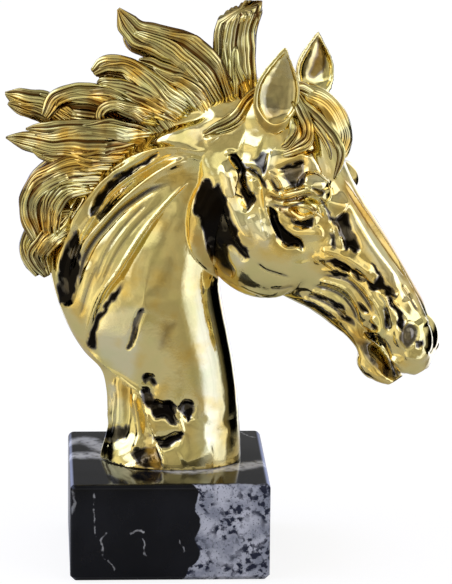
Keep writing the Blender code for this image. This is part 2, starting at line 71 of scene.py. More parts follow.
BACK = np.array([math.sin(CAMERA_AZIMUTH) * math.cos(CAMERA_ELEVATION),
                 -math.cos(CAMERA_AZIMUTH) * math.cos(CAMERA_ELEVATION), math.sin(CAMERA_ELEVATION)])
LEVEL = np.array([math.cos(CAMERA_AZIMUTH), math.sin(CAMERA_AZIMUTH), 0.0])
UPRIGHT = np.cross(BACK, LEVEL)
RIGHT = math.cos(CAMERA_ROLL) * LEVEL + math.sin(CAMERA_ROLL) * UPRIGHT
UP = math.cos(CAMERA_ROLL) * UPRIGHT - math.sin(CAMERA_ROLL) * LEVEL
CAMERA_PLACE = CAMERA_AIM + BACK * CAMERA_DISTANCE

bpy.ops.object.camera_add()
camera = bpy.context.object
camera.name = "photo_camera"
camera.data.sensor_width = 36
camera.data.lens = FOCAL_PIXELS / PICTURE_HEIGHT * 36
camera.data.clip_end = 10
camera.matrix_world = Matrix([[*row] for row in np.vstack([
    np.column_stack([RIGHT, UP, BACK, CAMERA_PLACE]), [0, 0, 0, 1]])])
bpy.context.scene.camera = camera


def picture_spot(points):
    """Where points of the figure's grid fall in the photograph, in its pixels."""
    reach = points * MM + FIGURE_BASE - CAMERA_PLACE
    depth = -(reach @ BACK)
    across = PICTURE_WIDTH / 2 + FOCAL_PIXELS * (reach @ RIGHT) / depth
    down = PICTURE_HEIGHT / 2 - FOCAL_PIXELS * (reach @ UP) / depth
    return np.column_stack([across, down])


print("camera at", CAMERA_PLACE.round(3), "lens", round(camera.data.lens, 1))

# %% [markdown]
# ## Small tools for curved forms
# A horse's head has hardly a straight line, so most forms here are lofted: a row of closed rings is
# strung along a smooth curve and skinned. These few functions do that with arrays. By hand it would be
# bridge edge loops between circles, but there are several hundred rings.

# %% Curves, rings and skins


def smooth_path(points, count):
    """Samples of a smooth curve through the given points, whatever their number of columns."""
    pts = np.asarray(points, float)
    ends = np.vstack([2 * pts[0] - pts[1], pts, 2 * pts[-1] - pts[-2]])
    at = np.linspace(0, len(pts) - 1, count)
    i = np.minimum(at.astype(int), len(pts) - 2)
    f = (at - i)[:, None]
    a, b, c, d = ends[i], ends[i + 1], ends[i + 2], ends[i + 3]
    return 0.5 * (2 * b + (c - a) * f + (2 * a - 5 * b + 4 * c - d) * f ** 2
                  + (3 * b - a - 3 * c + d) * f ** 3)


def unit(vectors):
    """The same vectors at length one."""
    return vectors / np.maximum(np.linalg.norm(vectors, axis=-1, keepdims=True), 1e-9)


def bulge(value, squareness):
    """One coordinate of a superellipse: 2 is an ellipse, more is squarer."""
    return np.sign(value) * np.abs(value) ** (2 / squareness)


def ease(share):
    """A share from nought to one, changed to start and end softly."""
    return share * share * (3 - 2 * share)


def directions(line, outward):
    """Directions along a line, across it and away from the form that it lies on, at each of its points."""
    ahead = unit(np.gradient(line, axis=0))
    beside = unit(np.cross(ahead, outward))
    return ahead, beside, unit(np.cross(beside, ahead))


def close_rings(rings):
    """Closed shell over a stack of rings, capped by a point in the middle of each end."""
    count, around = rings.shape[:2]
    points = np.vstack([rings.reshape(-1, 3), rings[0].mean(0), rings[-1].mean(0)])
    i, j = np.meshgrid(np.arange(count - 1), np.arange(around), indexing="ij")
    k = (j + 1) % around
    quads = np.stack([i * around + j, i * around + k, (i + 1) * around + k, (i + 1) * around + j], -1)
    faces = [tuple(face) for face in quads.reshape(-1, 4).tolist()]
    last = (count - 1) * around
    for j in range(around):
        k = (j + 1) % around
        faces.append((k, j, count * around))
        faces.append((last + j, last + k, count * around + 1))
    return points, faces


def joined(shells):
    """Several closed shells as one set of points and faces."""
    points, faces, start = [], [], 0
    for shell_points, shell_faces in shells:
        points.append(shell_points)
        faces.extend(tuple(v + start for v in face) for face in shell_faces)
        start += len(shell_points)
    return np.vstack(points), faces


def add_piece(name, points, faces):
    """A new mesh object from points on the figure's grid, in millimetres above the block."""
    mesh = bpy.data.meshes.new(name)
    mesh.from_pydata((points * MM + FIGURE_BASE).tolist(), [], faces)
    piece = bpy.data.objects.new(name, mesh)
    bpy.context.scene.collection.objects.link(piece)
    bpy.ops.object.select_all(action="DESELECT")
    bpy.context.view_layer.objects.active = piece
    piece.select_set(True)
    return piece


def grid_points(piece):
    """A piece's points back on the figure's grid."""
    flat = np.empty(len(piece.data.vertices) * 3)
    piece.data.vertices.foreach_get("co", flat)
    return (flat.reshape(-1, 3) - FIGURE_BASE) / MM


def point_normals(piece):
    """A piece's point normals."""
    flat = np.empty(len(piece.data.vertices) * 3)
    piece.data.vertex_normals.foreach_get("vector", flat)
    return flat.reshape(-1, 3)


def keep(piece, name, values):
    """Keeps a value for each of a piece's points under a name, for the shader to read."""
    layer = piece.data.attributes.new(name, "FLOAT", "POINT")
    layer.data.foreach_set("value", values)


def triangles(piece):
    """How many triangles a piece has."""
    return sum(len(face.vertices) - 2 for face in piece.data.polygons)


def kept_in(points):
    """Points held inside the CAD solid's box, sideways and above."""
    return np.clip(points, BOX_LOW + [0.1, 0.1, -20], BOX_HIGH - 0.1)


def set_points(piece, points):
    """Puts points of the figure's grid into the piece."""
    piece.data.vertices.foreach_set("co", (points * MM + FIGURE_BASE).ravel())
    piece.data.update()


# %% [markdown]
# ## The head's own axes
# The head hangs down and is turned a little towards the side that is shown. Giving it axes of its own
# makes both sides of the face easy to keep alike: s runs down the nose, t stands out of the face, and w
# points sideways to the shown side. A form given once at +w is given again at -w.

# %% Head axes
HEAD_YAW = math.radians(28)
HEAD_PITCH = math.radians(57)
HEAD_START = np.array([53.3, -14.5, 153.8])
FORWARD = np.array([math.cos(HEAD_YAW), -math.sin(HEAD_YAW), 0.0])
DOWN_NOSE = math.cos(HEAD_PITCH) * FORWARD - math.sin(HEAD_PITCH) * np.array([0, 0, 1.0])
OUT_OF_FACE = math.sin(HEAD_PITCH) * FORWARD + math.cos(HEAD_PITCH) * np.array([0, 0, 1.0])
SIDEWAYS = np.array([-math.sin(HEAD_YAW), -math.cos(HEAD_YAW), 0.0])
HEAD_AXES = np.array([DOWN_NOSE, OUT_OF_FACE, SIDEWAYS])


def from_head(points):
    """Points given as s, t, w in the figure's grid."""
    return HEAD_START + np.asarray(points, float) @ HEAD_AXES


def to_head(points):
    """The figure's grid points as s, t, w."""
    return (points - HEAD_START) @ HEAD_AXES.T


# %% [markdown]
# ## The big forms of the casting
# The neck is a loft from the foot to the poll, the face a loft down the nose, and the lower jaw a third.
# The numbers follow the CAD solid's closely, so the fine casting fills the same space. Rounded masses
# give the jowl, brow, temple, nostrils and lips.

# %% Neck, face and jaw
FOOT_EXTENSION = 7.0
# crest x and z, throat x and z, middle y, half thickness, egg
NECK = [
    (-27.5, -FOOT_EXTENSION, 30.0, -FOOT_EXTENSION, 0.0, 20.0, 0.05),
    (-27.3, 2, 30.0, 1, 0.0, 20.0, 0.05),
    (-24.6, 14, 29.3, 13, 0.0, 18.5, 0.05),
    (-24.8, 27, 28.2, 27, 0.0, 17.5, 0.08),
    (-27.0, 37, 26.6, 40, 0.0, 17.5, 0.12),
    (-34.2, 45, 24.6, 51, 0.0, 18.0, 0.16),
    (-40.2, 55, 22.4, 62, 0.0, 18.5, 0.20),
    (-45.2, 68, 21.0, 71, 0.0, 19.0, 0.22),
    (-48.2, 84, 21.2, 77, 0.0, 19.0, 0.22),
    (-45.5, 101, 23.0, 82, 0.0, 19.0, 0.22),
    (-38.5, 116, 27.0, 88, 0.0, 18.5, 0.20),
    (-27.0, 127.5, 32.0, 95, -1.0, 18.0, 0.18),
    (-11.0, 138.5, 40.0, 104, -2.0, 17.0, 0.15),
    (7.5, 147, 48.0, 112, -3.5, 15.5, 0.10),
    (26.0, 152, 54.0, 120, -5.5, 13.0, 0.05),
]
# s, top, widest level, bottom, half width, squareness above and below
HEAD = [
    (-9, -9, -18, -30, 9.0, 2.0, 2.0),
    (-3, -3, -19, -40, 13.0, 2.2, 2.0),
    (6, 0.0, -22, -52, 15.0, 2.3, 2.0),
    (16, 0.0, -25, -60, 16.5, 2.3, 2.4),
    (27, -1.4, -26, -65, 17.5, 2.4, 2.8),
    (38, -2.6, -26, -67, 17.5, 2.4, 3.0),
    (48, -2.6, -25, -63, 16.0, 2.4, 2.9),
    (57, -1.8, -22, -56.5, 14.0, 2.4, 2.6),
    (66, -1.0, -18, -48.5, 12.2, 2.4, 2.2),
    (76, -0.7, -15, -40, 11.2, 2.4, 2.2),
    (86, -0.7, -13, -32, 10.8, 2.4, 2.3),
    (95, -1.0, -11.5, -24.5, 11.2, 2.4, 2.3),
    (102, -2.4, -11.5, -22.8, 11.4, 2.3, 2.4),
    (108, -3.6, -12, -22.6, 11.4, 2.2, 2.4),
    (113, -5.8, -13.5, -21.8, 10.2, 2.2, 2.3),
    (116.8, -9.8, -15, -19.6, 7.4, 2.1, 2.1),
    (118.8, -12.4, -15.2, -18.2, 4.2, 2.0, 2.0),
]
LOWER_JAW = [
    (57, -28, -42, -57, 10.5, 2.2, 2.2),
    (66, -22, -36, -51.5, 10.0, 2.2, 2.2),
    (75, -20, -31, -44.5, 9.5, 2.2, 2.2),
    (84, -20, -29.5, -39.4, 9.2, 2.2, 2.2),
    (92, -22, -28.5, -35.2, 8.6, 2.2, 2.2),
    (98, -25, -29.5, -33.8, 8.2, 2.4, 2.2),
    (104, -26.6, -30.5, -35.4, 8.6, 2.8, 2.2),
    (109, -26.2, -30.0, -35.2, 8.8, 2.8, 2.2),
    (113.5, -25.4, -28.5, -33.2, 8.2, 2.6, 2.2),
    (117, -24.8, -26.8, -29.6, 5.6, 2.4, 2.0),
]


def neck_shell():
    """The neck, fanned out round the throat from the foot to the poll."""
    turn = np.linspace(0, 2 * math.pi, 96, endpoint=False)
    along, across = bulge(np.cos(turn), 2.1), bulge(np.sin(turn), 2.1)
    rings = []
    for cx, cz, tx, tz, y, half, egg in smooth_path(NECK, 110):
        x = (cx + tx) / 2 + along * (tx - cx) / 2
        z = (cz + tz) / 2 + along * (tz - cz) / 2
        rings.append(np.column_stack([x, y + across * half * (1 + egg * along), z]))
    return close_rings(np.array(rings))


def face_shell(stations, count):
    """A part of the head, lofted down the nose from its stations."""
    turn = np.linspace(0, 2 * math.pi, 96, endpoint=False)
    up = np.sin(turn) > 0
    rings = []
    for s, top, level, bottom, half, above, below in smooth_path(stations, count):
        w = np.where(up, bulge(np.cos(turn), above), bulge(np.cos(turn), below)) * half
        reach = np.where(up, top - level, level - bottom)
        t = level + reach * np.where(up, bulge(np.sin(turn), above), bulge(np.sin(turn), below))
        rings.append(from_head(np.column_stack([np.full_like(t, s), t, w])))
    return close_rings(np.array(rings))


# %% Rounded masses and drawn-out cords
# s, t, w, then the reach along s, t and w, and the tilt in degrees
HEAD_MASSES = {
    "jowl": (39, -45, 9.0, 27.0, 25.0, 10.5, 8),
    "brow": (35, -10.5, 14.0, 7.5, 5.5, 6.2, 25),
    "eye socket": (42.0, -17.5, 13.5, 6.4, 5.6, 4.6, 0),
    "temple": (14, -15, 9.8, 11, 6.5, 5.2, -30),
    "cheek bone": (60, -21.5, 9.8, 13, 3.4, 4.6, 22),
    "nostril wing": (103, -9.6, 7.6, 7.6, 5.8, 5.2, -20),
    "muzzle front": (105.5, -9.4, 3.0, 10.0, 7.4, 8.5, -20),
    "upper lip": (110.5, -16.0, 4.0, 6.8, 6.2, 7.6, 0),
    "chin": (106, -31.4, 2.8, 7.0, 5.0, 6.2, 0),
    "lower lip": (107.5, -28.6, 2.4, 9.6, 3.6, 6.0, 13),
}
# s, t, w along each cord, then its thickness at both ends and in the middle
HEAD_CORDS = {
    "upper lid": ([(34.6, -24.4, 16.2), (35.8, -19.8, 18.8), (38.2, -15.6, 20.0), (42.4, -12.4, 19.4),
                   (47.2, -12.0, 16.6)], 0.5, 1.5),
    "lid fold": ([(32.4, -24.2, 16.6), (33.4, -18.4, 18.9), (34.8, -12.9, 19.6), (36.4, -9.5, 18.6),
                  (38.4, -7.9, 16.2)], 0.5, 1.3),
    "lower lid": ([(37.2, -22.4, 17.2), (40.8, -20.3, 18.7), (43.7, -17.2, 19.3), (44.4, -13.9, 18.3),
                   (43.2, -11.4, 16.7)], 0.5, 1.0),
}


def mass_shell(side, s, t, w, reach_s, reach_t, reach_w, tilt):
    """An ellipsoid in the head's axes, turned by tilt degrees in the side view."""
    lie = np.linspace(0, math.pi, 25)[1:-1]
    turn = np.linspace(0, 2 * math.pi, 40, endpoint=False)
    a = math.radians(tilt)
    rings = []
    for angle in lie:
        along = np.full_like(turn, reach_s * math.cos(angle))
        high = reach_t * math.sin(angle) * np.cos(turn)
        out = reach_w * math.sin(angle) * np.sin(turn)
        rings.append(from_head(np.column_stack([s + along * math.cos(a) - high * math.sin(a),
                                                t + along * math.sin(a) + high * math.cos(a),
                                                side * (w + out)])))
    return close_rings(np.array(rings))


def cord_shell(side, path, thin, thick):
    """A round cord along a path in the head's axes, thinner at its ends."""
    line = from_head(smooth_path(path, 40) * np.array([1, 1, side]))
    _, beside, above = directions(line, SIDEWAYS)
    radius = thin + (thick - thin) * np.sin(np.linspace(0, math.pi, 40)) ** 0.6
    turn = np.linspace(0, 2 * math.pi, 12, endpoint=False)
    rings = (line[:, None] + radius[:, None, None] * (np.cos(turn)[None, :, None] * beside[:, None]
                                                      + np.sin(turn)[None, :, None] * above[:, None]))
    return close_rings(rings)


# %% Ears
NEAR_EAR = [(8.3, -13.5, 17.0), (-18.5, 9.4, 15)]
FAR_EAR = [(5, -3.5, -13), (-19, 11, -14.5)]
EAR_HALF_WIDTH = 8.6
EAR_DEPTH = 5.8
EAR_WALL = 1.5
EAR_BOWL = 3.0
EAR_BOW = 1.6
EAR_OPENING = 1.55
# Width at even steps from the base to the tip
EAR_OUTLINE = [[0.30], [0.72], [0.94], [1.04], [1.06], [1.00], [0.82], [0.57], [0.31], [0.05]]


def ear_shell(base, tip, facing):
    """A cupped, leaf-shaped ear that opens towards facing."""
    axis = unit(tip - base)
    across = unit(np.cross(axis, facing))
    front = unit(np.cross(across, axis))
    sweep = np.linspace(-EAR_OPENING, EAR_OPENING, 33)
    rings = []
    for u in np.linspace(0, 1, 90):
        wide = EAR_HALF_WIDTH * float(smooth_path(EAR_OUTLINE, 100)[round(u * 99), 0])
        deep = EAR_DEPTH * wide / EAR_HALF_WIDTH
        opening = np.clip((u - 0.10) / 0.22, 0, 1) * np.clip((0.97 - u) / 0.12, 0, 1)
        opening = opening * (2 - opening)
        centre = base + (tip - base) * u - front * EAR_BOW * math.sin(math.pi * u)
        inner_wide = max((wide - EAR_WALL) * math.sqrt(opening), wide * 0.2)
        inner_deep = EAR_BOWL * wide / EAR_HALF_WIDTH * opening
        outer = [centre + across * wide * math.sin(a) - front * deep * math.cos(a) for a in sweep]
        inner = [centre + across * (inner_wide * math.sin(a) + 0.4) - front * inner_deep * math.cos(a) ** 0.8
                 for a in sweep[::-1]]
        rings.append(outer + inner)
    return close_rings(np.array(rings))


near_facing = 0.55 * FORWARD + 0.85 * SIDEWAYS
far_facing = FORWARD + 0.6 * SIDEWAYS

# %% [markdown]
# ## Fusing the forms to one skin
# A casting has no seams. The Remesh modifier in voxel mode melts all the closed shells together, as
# Remesh does in sculpt mode. Its small stair steps would show at once in a mirror finish, so the points
# are then relaxed: each moves towards its neighbours and a little back again, which smooths without
# shrinking.

# %% Fuse and relax
SKIN_STEP = 0.46
SKIN_TRIANGLES = 196000


def fuse(piece, step):
    """Melts a piece's shells together with the voxel Remesh modifier."""
    remesh = piece.modifiers.new("one skin", "REMESH")
    remesh.mode = "VOXEL"
    remesh.voxel_size = step * MM
    bpy.context.view_layer.objects.active = piece
    bpy.ops.object.modifier_apply(modifier=remesh.name)


def edge_ends(piece):
    """The two points of every edge."""
    ends = np.empty(len(piece.data.edges) * 2, int)
    piece.data.edges.foreach_get("vertices", ends)
    return ends[0::2], ends[1::2]


def neighbour_mean(values, a, b, valence):
    """The mean over each point's neighbours."""
    size = len(valence)
    mean = np.empty_like(values)
    for axis in range(values.shape[1]):
        mean[:, axis] = np.bincount(a, values[b, axis], size) + np.bincount(b, values[a, axis], size)
    return mean / valence[:, None]


def relax(piece, rounds, pulls=(0.55, -0.57)):
    """Evens the skin out, with little shrinking unless the pulls say otherwise."""
    a, b = edge_ends(piece)
    size = len(piece.data.vertices)
    valence = np.bincount(a, minlength=size) + np.bincount(b, minlength=size)
    points = grid_points(piece)
    for _ in range(rounds):
        for pull in pulls:
            points = points + pull * (neighbour_mean(points, a, b, valence) - points)
    set_points(piece, points)


shells = [neck_shell(), face_shell(HEAD, 110), face_shell(LOWER_JAW, 60)]
for side in (1, -1):
    for mass in HEAD_MASSES.values():
        shells.append(mass_shell(side, *mass))
    for path, thin, thick in HEAD_CORDS.values():
        shells.append(cord_shell(side, path, thin, thick))
shells.append(ear_shell(from_head(NEAR_EAR[0]), from_head(NEAR_EAR[1]), near_facing))
shells.append(ear_shell(from_head(FAR_EAR[0]), from_head(FAR_EAR[1]), far_facing))
casting = add_piece("cast_head", *joined(shells))
fuse(casting, SKIN_STEP)
relax(casting, 9)
print("fused skin:", len(casting.data.vertices), "points")

# %% [markdown]
# ## Carving the folds
# The photograph shows muscle bands down the neck, a crease beside the throat, hollows round the eye and
# ridges on the cheek. Each is a stroke here, drawn where it falls in the picture, and it pushes the skin
# in or out along its normal. A stroke can be round or sharp, or step down on one side. Strokes on the
# far side are the same ones mirrored, so the back is finished too.

# %% Strokes
# way, depth in mm, width in pixels, then the path in pixels of the picture
NECK_STROKES = [
    ("groove", 1.6, 5, [(214, 112), (190, 119), (165, 127), (140, 139), (115, 154), (95, 171), (78, 192), (66, 214)]),
    ("edge", 0.8, 2.2, [(212, 150), (199, 152), (179, 148), (157, 150), (132, 157), (110, 170), (91, 187), (76, 207)]),
    ("ridge", 1.9, 6, [(184, 150), (162, 150), (136, 161), (110, 178), (91, 196), (77, 216), (66, 236)]),
    ("ridge", 2.2, 4.5, [(192, 159), (174, 164), (152, 176), (126, 197), (104, 220), (89, 237), (78, 253), (72, 270)]),
    ("ledge", 2.8, 10, [(176, 152), (160, 158), (146, 166), (130, 176), (112, 190), (99, 205), (89, 219), (77, 240),
                       (69, 262), (66, 282)]),
    ("groove", 1.3, 2.6, [(172, 182), (150, 190), (133, 201), (119, 212), (107, 225), (95, 239), (86, 254), (81, 270),
                          (77, 294)]),
    ("ledge", 1.6, 10, [(172, 184), (150, 192), (133, 203), (119, 214), (107, 227), (95, 241), (86, 256), (80, 274)]),
    ("groove", 0.35, 2.0, [(150, 200), (126, 224), (106, 252), (94, 284)]),
    ("groove", 0.30, 1.8, [(160, 203), (136, 226), (116, 254), (100, 288)]),
    ("groove", 0.35, 2.2, [(98, 262), (88, 290), (80, 318)]),
    ("ledge", 4.0, 16, [(193, 178), (178, 192), (162, 210), (144, 232), (126, 260), (116, 276), (104, 292), (95, 314),
                        (86, 345)]),
    ("edge", 1.0, 2.0, [(191, 181), (176, 194), (160, 211), (142, 233), (124, 261), (114, 277), (102, 293), (93, 314),
                        (84, 344)]),
    ("edge", 2.0, 18, [(149, 265), (146, 285), (143, 305), (140, 326), (136, 352), (133, 396)]),
    ("groove", 1.0, 3.2, [(143, 308), (137, 324), (130, 346)]),
    ("ledge", 6.5, 38, [(165, 474), (163, 455), (153, 435), (146, 416), (140, 395), (130, 385), (118, 374), (99, 358),
                        (84, 347)]),
    ("edge", 1.6, 2.4, [(165, 472), (161, 458), (152, 436), (145, 416), (139, 396), (129, 384), (117, 373), (100, 359),
                        (84, 346)]),
    ("ridge", 1.1, 4, [(108, 378), (112, 400), (112, 424), (106, 444)]),
    ("groove", 1.0, 4, [(119, 384), (122, 404), (121, 428), (116, 444)]),
    ("ridge", 1.2, 4, [(128, 396), (133, 416), (136, 436), (132, 452)]),
    ("groove", 0.5, 2.0, [(104, 384), (106, 408), (103, 430)]),
    ("groove", 0.8, 6, [(146, 376), (152, 386), (150, 400)]),
    ("edge", 0.7, 1.6, [(170, 402), (175, 414), (181, 424), (184, 437)]),
    ("groove", 1.0, 8, [(152, 402), (164, 412), (176, 412)]),
    ("groove", 0.9, 7, [(182, 406), (190, 408), (188, 420)]),
    ("groove", 0.9, 6, [(153, 440), (166, 443), (181, 436)]),
    ("ridge", 0.6, 12, [(180, 462), (198, 452), (214, 448)]),
    ("crease", 1.0, 3, [(236, 128), (222, 131), (210, 132), (203, 137)]),
    ("ridge", 0.8, 4, [(228, 136), (216, 138), (204, 142)]),
    ("crease", 0.9, 2.4, [(206, 156), (208, 163), (207, 170)]),
    ("edge", 0.9, 2.2, [(216, 155), (214, 164), (210, 172), (203, 178)]),
    ("crease", 0.7, 2.0, [(219, 158), (217, 168), (212, 176)]),
    ("edge", 0.7, 1.8, [(185, 157), (197, 159), (204, 163), (203, 170)]),
]
HEAD_STROKES = [
    ("ridge", 1.3, 5, [(222, 160), (227, 176), (232, 194), (238, 210), (246, 228), (256, 243)]),
    ("edge", 1.0, 2.2, [(221, 182), (226, 199), (231, 213), (236, 228), (241, 241), (250, 254)]),
    ("edge", 1.0, 2.0, [(224, 154), (231, 152), (238, 155), (244, 163), (252, 169)]),
    ("edge", 1.7, 2.4, [(250, 166), (257, 169), (263, 173), (267, 183), (268, 196), (268, 207), (271, 220),
                        (277, 234), (284, 243)]),
    ("ridge", 1.0, 4, [(256, 178), (258, 186), (256, 192)]),
    ("ridge", 0.9, 6, [(252, 214), (260, 230), (272, 241)]),
    ("edge", 0.7, 1.8, [(262, 205), (264, 220), (268, 234)]),
    ("ridge", 1.0, 4, [(272, 150), (272, 160), (270, 172), (270, 190), (271, 204)]),
    ("ridge", 1.2, 8, [(240, 142), (250, 146), (262, 150)]),
    ("crease", 0.40, 1.5, [(257, 262), (266, 269), (277, 273), (290, 277)]),
    ("crease", 0.35, 1.5, [(270, 289), (280, 289), (294, 286)]),
    ("ridge", 0.5, 3, [(232, 283), (250, 291), (270, 296), (292, 297)]),
    ("ridge", 0.5, 8, [(303, 258), (305, 272), (307, 292)]),
    ("ridge", 1.3, 6, [(306, 152), (314, 164), (320, 178), (330, 186)]),
    ("ledge", 1.2, 8, [(334, 186), (320, 189), (306, 185), (296, 187), (284, 190)]),
    ("edge", 0.9, 2.0, [(283, 190), (294, 187), (304, 185), (314, 188)]),
    ("edge", 1.0, 1.8, [(272, 171), (278, 176), (283, 183), (284, 190)]),
    ("crease", 1.0, 1.7, [(271, 178), (275, 187), (281, 191)]),
    ("ridge", 1.0, 2.6, [(270, 189), (278, 195), (289, 195), (301, 191), (313, 190)]),
    ("crease", 1.0, 1.7, [(269, 195), (278, 200), (290, 200), (302, 196), (316, 194)]),
    ("crease", 0.9, 1.5, [(271, 204), (281, 207), (290, 207), (298, 204), (308, 201), (317, 203)]),
    ("edge", 0.9, 1.8, [(275, 209), (284, 213), (292, 218), (302, 219), (312, 215), (318, 209)]),
    ("ridge", 1.0, 4, [(276, 214), (284, 224), (296, 231), (310, 233), (324, 232)]),
    ("edge", 0.9, 1.7, [(312, 224), (318, 227), (322, 231), (322, 238)]),
    ("edge", 0.7, 1.8, [(322, 205), (328, 214), (329, 222)]),
    ("edge", 0.9, 2.0, [(328, 244), (332, 236), (332, 228)]),
    ("crease", 0.8, 1.7, [(320, 198), (326, 208), (331, 216)]),
    ("ridge", 0.9, 6, [(326, 201), (338, 206), (346, 210)]),
    ("edge", 1.0, 2.0, [(333, 219), (337, 228), (341, 240), (344, 249)]),
    ("ridge", 1.4, 6.5, [(338, 190), (350, 208), (362, 230), (374, 250), (388, 268), (402, 286)]),
    ("edge", 0.9, 1.6, [(341, 176), (352, 194), (366, 214), (380, 234), (394, 256), (408, 276), (420, 296)]),
    ("crease", 0.5, 1.5, [(344, 186), (356, 206), (370, 226), (384, 246), (397, 265), (410, 284)]),
    ("crease", 0.8, 1.7, [(402, 284), (408, 292), (411, 300), (418, 312)]),
    ("ridge", 1.0, 6, [(406, 296), (418, 312), (428, 326)]),
    ("ridge", 1.5, 4.5, [(320, 250), (332, 252), (348, 258), (362, 268), (374, 278)]),
    ("edge", 0.9, 1.8, [(316, 254), (317, 260), (322, 262)]),
    ("edge", 0.9, 1.8, [(322, 258), (334, 258), (346, 262), (356, 270)]),
    ("edge", 1.0, 1.9, [(320, 270), (334, 270), (346, 272), (356, 280), (366, 290), (374, 300)]),
    ("crease", 1.0, 1.7, [(322, 275), (336, 277), (348, 281), (358, 290), (367, 302), (374, 314)]),
    ("edge", 0.9, 1.8, [(318, 280), (332, 283), (346, 289), (355, 300), (362, 314)]),
    ("crease", 1.1, 1.7, [(314, 286), (328, 289), (342, 296), (352, 308), (358, 322)]),
    ("edge", 0.9, 1.8, [(310, 290), (324, 294), (338, 302), (350, 316)]),
    ("crease", 1.1, 1.7, [(306, 295), (320, 300), (334, 308), (348, 320)]),
    ("edge", 0.8, 1.7, [(302, 297), (316, 303), (330, 312), (344, 324)]),
    ("edge", 1.0, 1.9, [(378, 290), (386, 300), (390, 312), (393, 326)]),
    ("groove", 1.0, 2.4, [(384, 306), (388, 318), (389, 330)]),
    ("edge", 1.0, 2.0, [(366, 293), (376, 304), (382, 318), (384, 334)]),
    ("edge", 0.8, 1.7, [(386, 291), (394, 302), (401, 312), (408, 320)]),
    ("ridge", 1.0, 3, [(372, 316), (378, 326), (384, 340)]),
    ("edge", 0.8, 1.8, [(362, 322), (370, 330), (382, 332)]),
    ("edge", 0.9, 1.8, [(360, 337), (372, 342), (382, 351), (392, 359), (402, 367)]),
    ("ridge", 0.9, 5, [(404, 356), (418, 358), (428, 350)]),
]
# depth in mm, softness in pixels and painted shade, then the outline of a hollow; the painted shade
# stands for the shade and dark reflections in the folds
NECK_HOLLOWS = [
    (2.2, 4.0, 0.95, [(158, 154), (150, 161), (140, 166), (131, 174), (121, 181), (112, 189), (104, 199), (95, 213),
                      (90, 214), (96, 200), (102, 190), (110, 181), (118, 174), (127, 170), (138, 164), (148, 158)]),
    (1.4, 4.0, 0.95, [(76, 230), (80, 246), (80, 262), (77, 280), (71, 302), (61, 302), (58, 286), (60, 268),
                      (65, 250), (70, 238)]),
    (0.2, 3.0, 0.92, [(122, 282), (119, 291), (110, 304), (103, 315), (98, 328), (97, 338), (95, 347), (87, 346),
                      (91, 332), (97, 317), (104, 306), (113, 293)]),
    (0.3, 2.5, 0.90, [(143, 308), (140, 319), (137, 331), (132, 346), (127, 348), (130, 336), (134, 322), (138, 311)]),
    (0.6, 3.0, 0.75, [(142, 378), (147, 374), (153, 377), (157, 384), (153, 385), (149, 380), (145, 383)]),
    (0.9, 3.0, 0.95, [(141, 388), (147, 388), (152, 396), (160, 403), (170, 402), (177, 408), (183, 402), (191, 402),
                      (194, 408), (191, 418), (187, 421), (183, 414), (178, 411), (174, 408), (178, 424), (171, 424),
                      (164, 417), (155, 419), (149, 411), (143, 402)]),
    (0.8, 3.0, 0.92, [(150, 435), (158, 440), (167, 438), (175, 434), (183, 433), (181, 439), (174, 442), (168, 447),
                      (159, 447), (154, 441)]),
    (0.3, 3.0, 0.85, [(130, 453), (146, 447), (157, 450), (162, 466), (150, 468), (136, 463)]),
    (0.3, 4.0, 0.70, [(106, 432), (113, 426), (122, 428), (129, 425), (127, 436), (116, 442), (108, 442)]),
    (0.2, 9.0, 0.20, [(166, 322), (176, 324), (170, 334), (164, 348), (159, 346), (162, 332)]),
]
